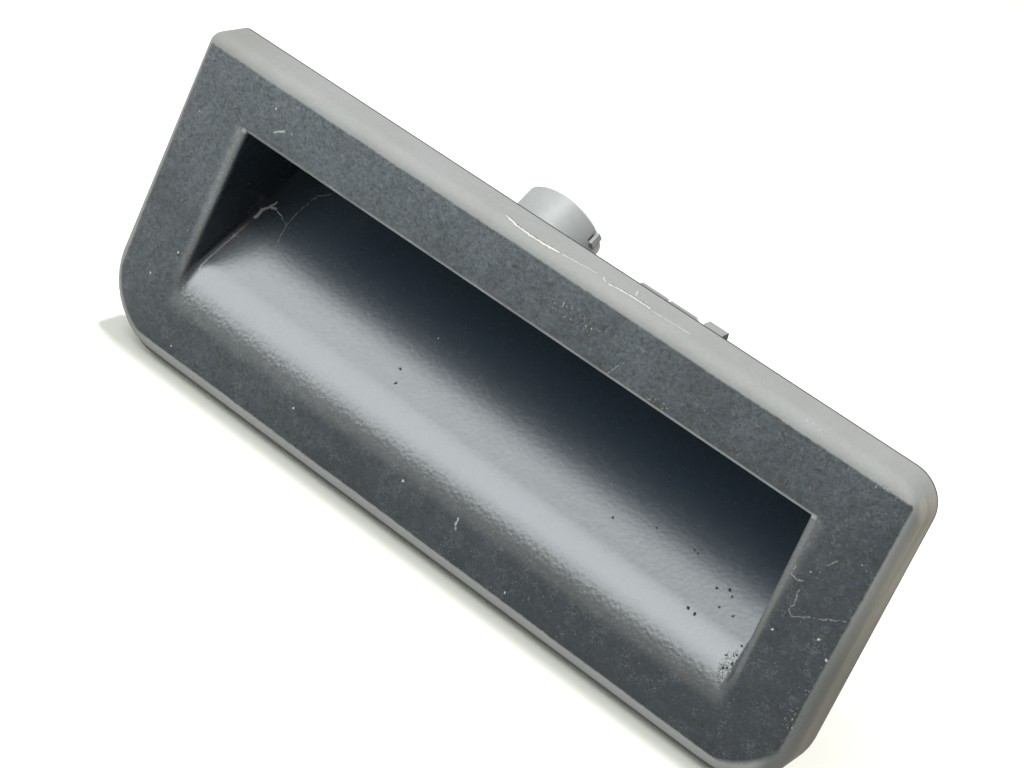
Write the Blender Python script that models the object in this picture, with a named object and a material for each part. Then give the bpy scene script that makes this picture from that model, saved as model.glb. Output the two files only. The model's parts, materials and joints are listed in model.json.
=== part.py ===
"""Tailgate handle: a moulded bezel with a finger pocket, a sprung release paddle under its
top lip, and behind it a sealed switch module with a round connector shroud.

X runs along the handle, Y runs into the tailgate and Z is up, as the handle is fitted.
The origin is the centre of the panel cut-out, in the plane where the bezel's rim seats.
"""

import math

import bmesh
import bpy
from mathutils import Matrix, Vector

MM = 0.001
ROUND = 48
ROUND_SMALL = 20
GAP = 0.3 * MM

# Bezel: the frame that shows on the tailgate
BEZEL_WIDTH = 125.0 * MM
BEZEL_HEIGHT = 52.0 * MM
BEZEL_DEPTH = 7.5 * MM
BEZEL_WALL = 2.2 * MM
FACE_THICKNESS = 2.5 * MM
SIDE_LEAN = 1.5 * MM
SKIRT_DRAFT = 0.3 * MM
EDGE_DEPTH = 2.4 * MM
EDGE_ROUND = 1.9 * MM
EDGE_ROUND_BOTTOM = 3.2 * MM
RIM_CORNERS = [r * MM for r in (5.4, 2.4, 12.5, 10.5)]
FACE_CORNERS = [r * MM for r in (1.2, 2.0, 11.0, 13.0)]
CORNER_LEAST = 0.8 * MM
CORNER_STEPS = 12
EDGE_STEPS = 6

# Seal groove behind the rim
GROOVE_WIDTH = 3.1 * MM
GROOVE_FLOOR = 3.4 * MM
RAIL_THICKNESS = 1.4 * MM
RAIL_SETBACK = 0.6 * MM
SEAL_PROUD = 0.5 * MM

# Finger pocket
OPENING_WIDTH = 101.6 * MM
END_LEAN = 0.055
OPENING_TOP = 14.9 * MM
OPENING_BOTTOM = -15.6 * MM
RAMP_SLOPE = 40.7
LIP_RADIUS = 10.7 * MM
LIP_START = 0.05 * MM
LIP_STEPS = 12
POCKET_WALL = 1.8 * MM
POCKET_CEILING = 18.8 * MM
CEILING_BACK = 9.85 * MM
BACK_SLOPE = 45.0
APEX_RADIUS = 4.0 * MM
SHOULDER_RADIUS = 2.0 * MM
END_FILLET = 1.0 * MM
LIP_EDGE = 0.5 * MM
CUTTER_OVERRUN = 4.0 * MM

# Gussets under the ramp
RIB_X = [x * MM for x in (-47.0, -38.0, -29.0, -10.0, 1.0, 12.0, 29.0, 38.0, 47.0)]
RIB_THICKNESS = 1.4 * MM
RIB_REACH = 13.5 * MM
RIB_HEIGHT = 4.0 * MM
RIB_ELBOW = (3.5 * MM, -8.5 * MM)
RIB_TOE = 0.4 * MM

# Release paddle and its hinge
HINGE_Y = 21.0 * MM
HINGE_Z = 14.3 * MM
PADDLE_WIDTH = 78.0 * MM
PADDLE_FRONT = -3.6 * MM
PADDLE_BACK = 8.6 * MM
PADDLE_THICKNESS = 1.6 * MM
PADDLE_MID_FRONT = 16.3 * MM
PAD_THICKNESS = 0.9 * MM
PAD_MARGIN = 1.2 * MM
PAD_RIBS = 6
PAD_GROOVE = 0.55
PAD_LAND = (0.25, 0.75)
ARM_X = 34.0 * MM
ARM_WIDTH = 6.0 * MM
ARM_THICKNESS = 2.2 * MM
ARM_TAIL = 8.4 * MM
TAIL_SLOPE = 0.19
HUB_RADIUS = 2.3 * MM
HUB_WIDTH = 6.3 * MM
PIN_RADIUS = 1.2 * MM
PIN_CLEARANCE = 0.12 * MM
PIN_HEAD_RADIUS = 1.9 * MM
PIN_HEAD_LENGTH = 0.8 * MM
PIN_CHAMFER = 0.25 * MM
EAR_THICKNESS = 2.0 * MM
EAR_GAP = 0.4 * MM
EAR_RADIUS = 2.5 * MM
EAR_FOOT = (2.0 * MM, 11.5 * MM)
WINDOW_SIDE_GAP = 0.3 * MM
WINDOW_BELOW = 0.5 * MM
WINDOW_ABOVE = 1.2 * MM
WINDOW_REACH = (11.0 * MM, 2.8 * MM)

# Actuator arm and switch
ACTUATOR_X = 14.0 * MM
ACTUATOR_WIDTH = 5.0 * MM
ACTUATOR_THICKNESS = 1.6 * MM
PLUNGER_LEVER = 8.6 * MM
PLUNGER_Y = HINGE_Y + PLUNGER_LEVER
ACTUATOR_TAIL = PLUNGER_LEVER + 1.6 * MM

# Return springs and rest buffers
SPRING_LEVER = 6.0 * MM
SPRING_RADIUS = 2.2 * MM
SPRING_WIRE = 0.25 * MM
SPRING_TURNS = 5
SPRING_STEPS = 18
SHELF_Z = 4.0 * MM
SHELF_THICKNESS = 2.0 * MM
SHELF_WIDTH = 8.0 * MM
SHELF_BACK = 30.0 * MM
WEB_SETBACK = 6.0 * MM
WEB_DROP = 7.0 * MM
WEB_THICKNESS = 1.6 * MM
SPIGOT_RADIUS = 1.3 * MM
SPIGOT_HEIGHT = 1.8 * MM
BUFFER_HEIGHT = 1.2 * MM
BUFFER_LENGTH = 1.8 * MM
BUFFER_WIDTH = 4.6 * MM
BUFFER_LEVER = 4.6 * MM

# Switch module
MODULE_LEFT = -24.0 * MM
MODULE_RIGHT = 26.0 * MM
MODULE_FRONT = 19.5 * MM
MODULE_BACK = PLUNGER_Y + 5.4 * MM
MODULE_TOP = 9.4 * MM
MODULE_BOTTOM = -8.0 * MM
MODULE_WALL = 1.6 * MM
MODULE_CORNER = 2.0 * MM
LID_THICKNESS = 1.8 * MM
LID_LIP = 1.6 * MM
LID_SEAL = 0.8 * MM
LID_RIB = 1.2 * MM
WALL_CLEARANCE = 0.4 * MM

# Connector shroud
SHROUD_X = -13.0 * MM
SHROUD_RIM_Y = 27.5 * MM
SHROUD_RIM_Z = 17.5 * MM
SHROUD_TILT = 43.0
SHROUD_RADIUS = 7.1 * MM
SHROUD_WALL = 1.3 * MM
SHROUD_DEPTH = 7.5 * MM
SHROUD_LENGTH = 9.6 * MM
SHROUD_CHAMFER = 0.4 * MM
LATCH_TURN = 17.0
LATCH_WIDTH = 1.2 * MM
LATCH_SLOT = 0.5 * MM
LATCH_RISE = 0.35 * MM
LATCH_SPAN = (0.2 * MM, 2.4 * MM)
LUG_TURN = -18.0
LUG_WIDTH = 1.6 * MM
LUG_RISE = 0.6 * MM
LUG_SPAN = (1.8 * MM, 3.2 * MM)

# Terminals, from the socket to the switch
TERMINAL_RADIUS = 0.5 * MM
TERMINAL_PROUD = 4.5 * MM
TERMINAL_DROP = 4.2 * MM
TERMINAL_BEND = 11.0 * MM
SIGNAL_X = SHROUD_X + 2.0 * MM
COMMON_X = SHROUD_X - 2.0 * MM
SIGNAL_ENTRY = (9.8 * MM, 0.9 * MM)
COMMON_ENTRY = (18.1 * MM, 3.8 * MM)
SIGNAL_RUN_Y = 23.4 * MM
COMMON_RUN_Y = 25.0 * MM

# Microswitch inside the module, and its rubber boot on the roof
SWITCH_LEFT = 7.6 * MM
SWITCH_RIGHT = 20.4 * MM
SWITCH_FRONT = PLUNGER_Y - 3.0 * MM
SWITCH_BACK = PLUNGER_Y + 2.3 * MM
SWITCH_BOTTOM = -1.0 * MM
SWITCH_TOP = 5.6 * MM
SWITCH_WALL = 1.0 * MM
CRADLE_INSET = 2.0 * MM
CRADLE_THICKNESS = 1.2 * MM
COVER_THICKNESS = 0.9 * MM
BOOT_TOP = HINGE_Z - TAIL_SLOPE * PLUNGER_LEVER - 1.266 * MM
PLUNGER_RADIUS = 1.2 * MM
PLUNGER_CLEARANCE = 0.3 * MM
PLUNGER_TOP = BOOT_TOP - 0.85 * MM
PLUNGER_CHAMFER = 0.4 * MM
COLLAR_RADIUS = 1.8 * MM
COLLAR_HEIGHT = 1.0 * MM
BLADE_LEVER = 4.9 * MM
BLADE_REACH = 5.0 * MM
BLADE_WIDTH = 2.2 * MM
BLADE_THICKNESS = 0.25 * MM
BLADE_HEEL = 0.2 * MM
BOOT_RADIUS = 2.3 * MM
BOOT_FLANGE = 3.4 * MM
BOOT_WALL = 0.5 * MM
BOOT_SHOULDER = (0.7 * MM, 0.8 * MM)
BOOT_FILLET = 0.5 * MM

# Module fixing
PILLAR_X = (-19.0 * MM, 21.0 * MM)
PILLAR_Z = -12.0 * MM
PILLAR_RADIUS = 3.4 * MM
PILLAR_DRAFT = 0.5 * MM
EAR_PLATE = 2.4 * MM
SCREW_RADIUS = 1.3 * MM
SCREW_CLEARANCE = 0.2 * MM
SCREW_LENGTH = 11.0 * MM
SCREW_HEAD_RADIUS = 2.8 * MM
SCREW_HEAD_HEIGHT = 2.0 * MM
SCREW_SOCKET = 1.3 * MM
SCREW_TIP = (0.8 * MM, 1.2 * MM)
SCREW_CROWN = (2.0 * MM, 1.2 * MM)
SCREW_SOCKET_FLOOR = 0.8 * MM

# Retaining clips and hooks that hold the handle in the panel
PANEL_THICKNESS = 1.0 * MM
CLIP_THICKNESS = 0.5 * MM
TOP_CLIP_X = 15.3 * MM
TOP_CLIP_WIDTH = 9.4 * MM
CLIP_SLIT = 0.6 * MM
BOTTOM_CLIP_X = 38.0 * MM
BOTTOM_CLIP_WIDTH = 6.0 * MM
CLIP_START = 1.4 * MM
CLIP_FOLD = 0.6 * MM
CLIP_PEAK = 3.3 * MM
CLIP_PEAK_BOTTOM = 2.8 * MM
CLIP_LENGTH = 7.8 * MM
CLIP_SHANK = 1.44 * MM
CLIP_CREST = (3.1 * MM, 4.3 * MM)
CLIP_TOE = 0.4 * MM
CLIP_TOE_RISE = (0.4, 0.45)
TOWER_DEPTH = 3.0 * MM
TOWER_SETBACK = 0.1 * MM
TOWER_BACK = 10.0 * MM
HOOK_X = 23.3 * MM
HOOK_WIDTH = 3.2 * MM
HOOK_HEIGHT = 4.0 * MM
HOOK_NOSE = 2.6 * MM
HOOK_CATCH = PANEL_THICKNESS + 0.4 * MM
HOOK_REACH = (3.0 * MM, 4.8 * MM, 7.0 * MM)
TOWER_WIDTH = 8.4 * MM
CLIP_STOP = (1.0 * MM, 0.8 * MM)

CHARCOAL = ((0.035, 0.038, 0.042, 1.0), 0.55, 0.0)
MODULE_GREY = ((0.16, 0.17, 0.17, 1.0), 0.5, 0.0)
RUBBER = ((0.012, 0.012, 0.013, 1.0), 0.85, 0.0)
STEEL = ((0.55, 0.56, 0.58, 1.0), 0.35, 1.0)
BRASS = ((0.72, 0.55, 0.25, 1.0), 0.3, 1.0)
NYLON = ((0.75, 0.73, 0.68, 1.0), 0.5, 0.0)
SILICONE = ((0.30, 0.10, 0.06, 1.0), 0.6, 0.0)
CASE_BLACK = ((0.02, 0.02, 0.022, 1.0), 0.4, 0.0)

FRONT = -BEZEL_DEPTH
FACE_BACK = FRONT + FACE_THICKNESS
HALF_OPENING = 0.5 * OPENING_WIDTH
HALF_PADDLE = 0.5 * PADDLE_WIDTH
RAIL_INSET = BEZEL_WALL + GROOVE_WIDTH
HINGE = Vector((0.0, HINGE_Y, HINGE_Z))


def clear_scene():
    for item in list(bpy.data.objects):
        bpy.data.objects.remove(item, do_unlink=True)


def material(name, finish):
    colour, roughness, metallic = finish
    made = bpy.data.materials.new(name)
    made.use_nodes = True
    shader = made.node_tree.nodes["Principled BSDF"]
    shader.inputs["Base Color"].default_value = colour
    shader.inputs["Roughness"].default_value = roughness
    shader.inputs["Metallic"].default_value = metallic
    return made


def make_object(name, bm, finish=None, origin=(0.0, 0.0, 0.0)):
    """Turn a bmesh in the handle's frame into an object whose origin is at the given point."""
    bmesh.ops.recalc_face_normals(bm, faces=bm.faces)
    bmesh.ops.translate(bm, verts=bm.verts, vec=-Vector(origin))
    mesh = bpy.data.meshes.new(name)
    bm.to_mesh(mesh)
    bm.free()
    mesh.shade_smooth()
    mesh.set_sharp_from_angle(angle=math.radians(35))
    made = bpy.data.objects.new(name, mesh)
    made.location = origin
    bpy.context.scene.collection.objects.link(made)
    if finish:
        mesh.materials.append(material(name, finish))
    return made


def shape(target, tool, operation, solver):
    """Join or cut the target with a tool object, which is hidden from the build."""
    tool.hide_render = True
    tool.display_type = "WIRE"
    change = target.modifiers.new(tool.name, "BOOLEAN")
    change.operation = operation
    change.solver = solver
    change.object = tool


def cut(target, bm, name, solver="EXACT"):
    shape(target, make_object(name, bm), "DIFFERENCE", solver)


def join(target, bm, name, solver="EXACT"):
    shape(target, make_object(name, bm), "UNION", solver)


def add_prism(bm, outline, axis, low, high):
    """Add a prism: the outline lies across the axis, in the order of the other two axes."""
    def point(pair, depth):
        if axis == "X":
            return (depth, pair[0], pair[1])
        if axis == "Y":
            return (pair[0], depth, pair[1])
        return (pair[0], pair[1], depth)

    add_loft(bm, [[point(pair, depth) for pair in outline] for depth in (low, high)])


def add_loft(bm, rings):
    """Add a closed solid through rings of points, with flat ends."""
    made = [[bm.verts.new(point) for point in ring] for ring in rings]
    count = len(made[0])
    for first, second in zip(made, made[1:]):
        for i in range(count):
            j = (i + 1) % count
            bm.faces.new((first[i], first[j], second[j], second[i]))
    bm.faces.new(made[0])
    bm.faces.new(made[-1])


def add_ring_prism(bm, outer, inner, low, high):
    """Add a ring that runs round Y between two outlines with the same number of points."""
    rings = []
    for outline, depth in ((outer, low), (outer, high), (inner, high), (inner, low)):
        rings.append([bm.verts.new((x, depth, z)) for x, z in outline])
    count = len(outer)
    for first, second in zip(rings, rings[1:] + rings[:1]):
        for i in range(count):
            j = (i + 1) % count
            bm.faces.new((first[i], first[j], second[j], second[i]))


def add_box(bm, low, high):
    outline = [(low[0], low[2]), (high[0], low[2]), (high[0], high[2]), (low[0], high[2])]
    add_prism(bm, outline, "Y", low[1], high[1])


def add_turned(bm, profile, frame, steps=ROUND):
    """Turn (radius, height) pairs about the frame's Z axis; points of zero radius close an end."""
    rings = []
    for radius, height in profile:
        if radius == 0.0:
            rings.append([bm.verts.new(frame @ Vector((0.0, 0.0, height)))])
            continue
        angles = [2.0 * math.pi * i / steps for i in range(steps)]
        points = [Vector((radius * math.cos(a), radius * math.sin(a), height)) for a in angles]
        rings.append([bm.verts.new(frame @ point) for point in points])
    closed = profile[0][0] > 0.0
    pairs = list(zip(rings, rings[1:])) + ([(rings[-1], rings[0])] if closed else [])
    for first, second in pairs:
        if len(first) == len(second) == 1:
            continue
        for i in range(steps):
            j = (i + 1) % steps
            corners = [first[i % len(first)], first[j % len(first)]]
            corners += [second[j % len(second)], second[i % len(second)]]
            bm.faces.new(list(dict.fromkeys(corners)))


def add_rod(bm, frame, radius, height, steps):
    add_turned(bm, [(0.0, 0.0), (radius, 0.0), (radius, height), (0.0, height)], frame, steps)


def along(axis, origin):
    """A frame at the origin whose Z axis is the given direction."""
    turn = Vector(axis).to_track_quat("Z", "Y").to_matrix().to_4x4()
    return Matrix.Translation(Vector(origin)) @ turn


def arc(centre, radius, start, end, steps):
    """Points on an arc between two angles in degrees, both ends included."""
    angles = [math.radians(start + (end - start) * i / steps) for i in range(steps + 1)]
    return [(centre[0] + radius * math.cos(a), centre[1] + radius * math.sin(a)) for a in angles]


def fillet(before, corner, after, radius, steps):
    """The arc that rounds one corner of a polyline."""
    corner = Vector(corner)
    back = (Vector(before) - corner).normalized()
    ahead = (Vector(after) - corner).normalized()
    half = 0.5 * back.angle(ahead)
    centre = corner + (back + ahead).normalized() * (radius / math.sin(half))
    start = corner + back * (radius / math.tan(half)) - centre
    end = corner + ahead * (radius / math.tan(half)) - centre
    first = math.atan2(start.y, start.x)
    sweep = (math.atan2(end.y, end.x) - first + math.pi) % (2.0 * math.pi) - math.pi
    angles = [first + sweep * i / steps for i in range(steps + 1)]
    return [(centre.x + radius * math.cos(a), centre.y + radius * math.sin(a)) for a in angles]


def offset_path(points, distance):
    """Shift an open polyline to its right-hand side by the distance, with mitred corners."""
    vectors = [Vector(p) for p in points]
    normals = []
    for first, second in zip(vectors, vectors[1:]):
        run = (second - first).normalized()
        normals.append(Vector((run.y, -run.x)))
    moved = []
    for i, point in enumerate(vectors):
        near = normals[max(i - 1, 0)]
        far = normals[min(i, len(normals) - 1)]
        mitre = (near + far) / (1.0 + near.dot(far))
        shifted = point + mitre * distance
        moved.append((shifted.x, shifted.y))
    return moved


def bezel_outline(inset, inset_bottom=None, share=0.0):
    """The bezel's outline in X and Z, drawn in from its rim; share 1 has the face's corners."""
    low = inset if inset_bottom is None else inset_bottom
    top = 0.5 * BEZEL_HEIGHT - inset
    bottom = low - 0.5 * BEZEL_HEIGHT
    half_top = 0.5 * BEZEL_WIDTH - inset
    half_bottom = half_top + SIDE_LEAN
    corners = [(half_top, top), (-half_top, top), (-half_bottom, bottom), (half_bottom, bottom)]
    points = []
    for i, (x, z) in enumerate(corners):
        rim = max(RIM_CORNERS[i] - inset, CORNER_LEAST)
        radius = rim + share * (FACE_CORNERS[i] - rim)
        centre = (x - math.copysign(radius, x), z - math.copysign(radius, z))
        points += arc(centre, radius, 90 * i, 90 * (i + 1), CORNER_STEPS)
    return points


def lip_arc(radius):
    """The soft lower lip, from just before the bezel's face round to the ramp."""
    centre = (FRONT + LIP_RADIUS - LIP_START, OPENING_BOTTOM)
    return arc(centre, radius, 180, 90 + RAMP_SLOPE, LIP_STEPS)


def back_corners(floor_out, roof_out):
    """The corners between ramp, sloping back wall and ceiling, with each surface moved out."""
    slope = math.tan(math.radians(RAMP_SLOPE))
    lean = math.tan(math.radians(BACK_SLOPE))
    start = lip_arc(LIP_RADIUS - floor_out)[-1]
    ceiling = POCKET_CEILING + roof_out
    shoulder_y = CEILING_BACK + roof_out * math.tan(math.radians(0.5 * (90.0 - BACK_SLOPE)))
    apex_y = (ceiling + lean * shoulder_y - start[1] + slope * start[0]) / (slope + lean)
    apex = (apex_y, start[1] + slope * (apex_y - start[0]))
    return apex, (shoulder_y, ceiling)


def pocket_wall(floor_out=0.0, roof_out=0.0):
    """The pocket's wall line in Y and Z from the lower lip to the ceiling's front end."""
    apex, shoulder = back_corners(floor_out, roof_out)
    points = lip_arc(LIP_RADIUS - floor_out)
    points += fillet(points[-1], apex, shoulder, APEX_RADIUS + roof_out, 6)
    front = (FACE_BACK, POCKET_CEILING + roof_out)
    return points + fillet(apex, shoulder, front, SHOULDER_RADIUS + roof_out, 3) + [front]


def pocket_outside():
    return pocket_wall(POCKET_WALL, POCKET_WALL)[:-1]


def pocket_cavity(lift):
    """The closed line of the space in the pocket, with its floor raised by the lift."""
    points = pocket_wall(-lift, 0.0)
    points += [(FACE_BACK, OPENING_TOP + LIP_EDGE), (FACE_BACK - LIP_EDGE, OPENING_TOP)]
    points += [(FRONT + LIP_EDGE, OPENING_TOP), (FRONT - LIP_EDGE, OPENING_TOP + 2.0 * LIP_EDGE)]
    beyond = FRONT - CUTTER_OVERRUN
    return points + [(beyond, OPENING_TOP + 2.0 * LIP_EDGE), (beyond, OPENING_BOTTOM)]


def arm_middle(y):
    """Height of the paddle's middle line above a place along Y."""
    slope = (PADDLE_MID_FRONT - HINGE_Z) / (HINGE_Y - PADDLE_FRONT)
    return HINGE_Z + slope * (HINGE_Y - y)


def band(start, end, below, above):
    """A straight strip in Y and Z that runs along the paddle's middle line."""
    return [(start, arm_middle(start) - below), (end, arm_middle(end) - below),
            (end, arm_middle(end) + above), (start, arm_middle(start) + above)]


def arm_outline(start, tail, thickness):
    """An arm in Y and Z: along the paddle's middle line to the hinge, then down along its tail."""
    path = [(start, arm_middle(start)), (HINGE_Y, HINGE_Z)]
    path += [(HINGE_Y + tail, HINGE_Z - TAIL_SLOPE * tail)]
    return offset_path(path, 0.5 * thickness) + offset_path(path, -0.5 * thickness)[::-1]


def tail_underside(lever, thickness):
    """Height of a tail's underside at a distance behind the hinge."""
    return HINGE_Z - TAIL_SLOPE * lever - 0.5 * thickness * math.hypot(1.0, TAIL_SLOPE)


def mirrored(x):
    return (-x, x)


def bezel_shell():
    """The bezel in one loft: face, rounded edge, skirt, rim, seal groove, rail and hollow back."""
    rings = []
    for i in range(EDGE_STEPS + 1):
        turn = math.radians(90.0 * (1.0 - i / EDGE_STEPS))
        rise = 1.0 - math.cos(turn)
        inset = SKIRT_DRAFT + EDGE_ROUND * rise
        inset_bottom = SKIRT_DRAFT + EDGE_ROUND_BOTTOM * rise
        y = FRONT + EDGE_DEPTH * (1.0 - math.sin(turn))
        rings.append([(x, y, z) for x, z in bezel_outline(inset, inset_bottom, rise)])
    inner_rail = RAIL_INSET + RAIL_THICKNESS
    section = [(0.0, 0.0), (BEZEL_WALL, 0.0), (BEZEL_WALL, -GROOVE_FLOOR), (RAIL_INSET, -GROOVE_FLOOR)]
    section += [(RAIL_INSET, -RAIL_SETBACK), (inner_rail, -RAIL_SETBACK), (inner_rail, FACE_BACK)]
    for inset, y in section:
        rings.append([(x, y, z) for x, z in bezel_outline(inset)])
    bm = bmesh.new()
    add_loft(bm, rings)
    return make_object("handle_housing", bm, CHARCOAL)


def end_x(side, half, z):
    """Where an end wall of the pocket lies at a height: it leans out towards the bottom."""
    return side * (half - END_LEAN * z)


def pocket_body(housing):
    """The outside of the pocket's walls."""
    half = HALF_OPENING + POCKET_WALL
    ends = [(FACE_BACK - GAP, POCKET_CEILING + POCKET_WALL)]
    outline = pocket_outside() + ends
    bm = bmesh.new()
    add_loft(bm, [[(end_x(side, half, z), y, z) for y, z in outline] for side in (-1.0, 1.0)])
    join(housing, bm, "join_pocket_body")


def floor_ribs(housing):
    """Gussets under the ramp, from the rail to the pocket's back."""
    slope = math.tan(math.radians(RAMP_SLOPE))
    start = lip_arc(LIP_RADIUS - 0.5 * POCKET_WALL)[-1]
    rail = RAIL_INSET + 0.5 * RAIL_THICKNESS - 0.5 * BEZEL_HEIGHT
    top_z = start[1] + slope * (RIB_REACH - start[0])
    outline = [(FACE_BACK - GAP, rail), (FACE_BACK - GAP, OPENING_BOTTOM), start]
    outline += [(RIB_REACH, top_z), (RIB_REACH, top_z - RIB_HEIGHT), RIB_ELBOW]
    outline += [(-RAIL_SETBACK - RIB_TOE, rail)]
    bm = bmesh.new()
    for x in RIB_X:
        add_prism(bm, outline, "X", x - 0.5 * RIB_THICKNESS, x + 0.5 * RIB_THICKNESS)
    join(housing, bm, "join_floor_ribs")


def hinge_ears(housing):
    """Pairs of ears on the sloping back wall that hold the hinge pins."""
    bm = bmesh.new()
    shoulder = back_corners(0.5 * POCKET_WALL, 0.5 * POCKET_WALL)[1]
    lean = math.radians(BACK_SLOPE)
    down = Vector((math.cos(lean), -math.sin(lean)))
    foot, toe = (Vector(shoulder) + down * reach for reach in EAR_FOOT)
    hinge = Vector((HINGE_Y, HINGE_Z))
    outline = [tuple(toe)] + arc(tuple(hinge), EAR_RADIUS, -60, 120, 10) + [tuple(foot)]
    reach = 0.5 * ARM_WIDTH + EAR_GAP
    for side in mirrored(ARM_X):
        for low in (side - reach - EAR_THICKNESS, side + reach):
            add_prism(bm, outline, "X", low, low + EAR_THICKNESS)
    join(housing, bm, "join_hinge_ears")


def spring_shelves(housing):
    """Shelves behind the pocket with a spigot for each return spring."""
    slope = math.tan(math.radians(RAMP_SLOPE))
    start = lip_arc(LIP_RADIUS - 0.5 * POCKET_WALL)[-1]
    low = SHELF_Z - SHELF_THICKNESS
    y_low = start[0] + (low - start[1]) / slope
    y_high = start[0] + (SHELF_Z - start[1]) / slope
    outline = [(y_low, low), (SHELF_BACK, low), (SHELF_BACK, SHELF_Z), (y_high, SHELF_Z)]
    bm = bmesh.new()
    for side in mirrored(ARM_X):
        add_prism(bm, outline, "X", side - 0.5 * SHELF_WIDTH, side + 0.5 * SHELF_WIDTH)
    join(housing, bm, "join_spring_shelves")
    bm = bmesh.new()
    web = [(y_low + GAP, low + GAP), (SHELF_BACK - WEB_SETBACK, low + GAP)]
    web += [(y_low - WEB_DROP, low - slope * WEB_DROP)]
    for side in mirrored(ARM_X):
        add_prism(bm, web, "X", side - 0.5 * WEB_THICKNESS, side + 0.5 * WEB_THICKNESS)
    join(housing, bm, "join_shelf_webs")
    bm = bmesh.new()
    for side in mirrored(ARM_X):
        base = along((0, 0, 1), (side, HINGE_Y + SPRING_LEVER, SHELF_Z - GAP))
        profile = [(0.0, 0.0), (SPIGOT_RADIUS, 0.0), (SPIGOT_RADIUS, SPIGOT_HEIGHT)]
        add_turned(bm, profile + [(0.0, SPIGOT_HEIGHT)], base, ROUND_SMALL)
    join(housing, bm, "join_spring_spigots")


def module_pillars(housing):
    """Pillars that the module's screws go into."""
    bm = bmesh.new()
    top = MODULE_FRONT - GAP
    for x in PILLAR_X:
        base = along((0, 1, 0), (x, FACE_BACK - GAP, PILLAR_Z))
        height = top - FACE_BACK + GAP
        profile = [(0.0, 0.0), (PILLAR_RADIUS + PILLAR_DRAFT, 0.0), (PILLAR_RADIUS, height), (0.0, height)]
        add_turned(bm, profile, base, ROUND_SMALL)
    join(housing, bm, "join_pillars")
    bm = bmesh.new()
    for x in PILLAR_X:
        base = along((0, 1, 0), (x, top - SCREW_LENGTH - GAP, PILLAR_Z))
        radius = SCREW_RADIUS + SCREW_CLEARANCE
        height = SCREW_LENGTH + CUTTER_OVERRUN
        profile = [(0.0, 0.0), (radius, 0.0), (radius, height), (0.0, height)]
        add_turned(bm, profile, base, ROUND_SMALL)
    cut(housing, bm, "cut_pilot_holes")


def panel_hooks(housing):
    """The fixed hook at the top and the towers for the bottom clips."""
    bm = bmesh.new()
    roof = POCKET_CEILING + POCKET_WALL
    top = roof + HOOK_HEIGHT
    ramp, crest, root = (HOOK_CATCH + reach for reach in HOOK_REACH)
    outline = [(HOOK_CATCH, roof - GAP), (HOOK_CATCH, roof + HOOK_NOSE), (ramp, top)]
    outline += [(crest, top), (root, roof - GAP)]
    add_prism(bm, outline, "X", HOOK_X - 0.5 * HOOK_WIDTH, HOOK_X + 0.5 * HOOK_WIDTH)
    rail = RAIL_INSET - 0.5 * BEZEL_HEIGHT + TOWER_SETBACK
    for side in mirrored(BOTTOM_CLIP_X):
        low = (side - 0.5 * TOWER_WIDTH, FACE_BACK - GAP, rail)
        high = (side + 0.5 * TOWER_WIDTH, TOWER_BACK, rail + TOWER_DEPTH)
        add_box(bm, low, high)
    clip_end = CLIP_START + CLIP_LENGTH + GAP
    stop = (TOP_CLIP_X - 0.5 * TOP_CLIP_WIDTH, clip_end, roof - GAP)
    length, height = CLIP_STOP
    add_box(bm, stop, (TOP_CLIP_X + 0.5 * TOP_CLIP_WIDTH, clip_end + length, roof + height))
    join(housing, bm, "join_panel_hooks")


def cut_pocket(housing):
    """Open the pocket: its floor rises in a fillet where it meets the end walls."""
    rings = []
    for side in (-1.0, 1.0):
        steps = [90, 60, 30, 0] if side < 0 else [0, 30, 60, 90]
        for turn in steps:
            angle = math.radians(turn)
            half = HALF_OPENING - END_FILLET * (1.0 - math.sin(angle))
            lift = END_FILLET * (1.0 - math.cos(angle))
            rings.append([(end_x(side, half, z), y, z) for y, z in pocket_cavity(lift)])
    bm = bmesh.new()
    add_loft(bm, rings)
    cut(housing, bm, "cut_pocket")


def cut_windows(housing):
    """Windows in the sloping back wall for the paddle's arms, and the bores for its pins."""
    bm = bmesh.new()
    start, end = HINGE_Y - WINDOW_REACH[0], HINGE_Y - WINDOW_REACH[1]
    sill = BUFFER_HEIGHT + 2.0 * GAP
    for x, width, thickness, below in ((-ARM_X, ARM_WIDTH, ARM_THICKNESS, sill),
                                       (ACTUATOR_X, ACTUATOR_WIDTH, ACTUATOR_THICKNESS, WINDOW_BELOW),
                                       (ARM_X, ARM_WIDTH, ARM_THICKNESS, sill)):
        half_width = 0.5 * width + WINDOW_SIDE_GAP
        half = 0.5 * thickness
        outline = band(start, end, half + below, half + WINDOW_ABOVE)
        add_prism(bm, outline, "X", x - half_width, x + half_width)
    cut(housing, bm, "cut_windows")
    bm = bmesh.new()
    reach = 0.5 * ARM_WIDTH + EAR_GAP + EAR_THICKNESS + 2.0 * GAP
    for side in mirrored(ARM_X):
        radius = PIN_RADIUS + PIN_CLEARANCE
        base = along((1, 0, 0), (side - reach, HINGE_Y, HINGE_Z))
        profile = [(0.0, 0.0), (radius, 0.0), (radius, 2.0 * reach), (0.0, 2.0 * reach)]
        add_turned(bm, profile, base, ROUND_SMALL)
    cut(housing, bm, "cut_pin_bores")


def handle_housing():
    housing = bezel_shell()
    pocket_body(housing)
    floor_ribs(housing)
    hinge_ears(housing)
    spring_shelves(housing)
    module_pillars(housing)
    panel_hooks(housing)
    cut_pocket(housing)
    cut_windows(housing)


def panel_seal():
    """The foam ring in the groove, standing a little proud of the rim."""
    outer = bezel_outline(BEZEL_WALL + GAP)
    inner = bezel_outline(RAIL_INSET - GAP)
    bm = bmesh.new()
    add_ring_prism(bm, outer, inner, GAP - GROOVE_FLOOR, SEAL_PROUD)
    make_object("panel_seal", bm, RUBBER)


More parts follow.
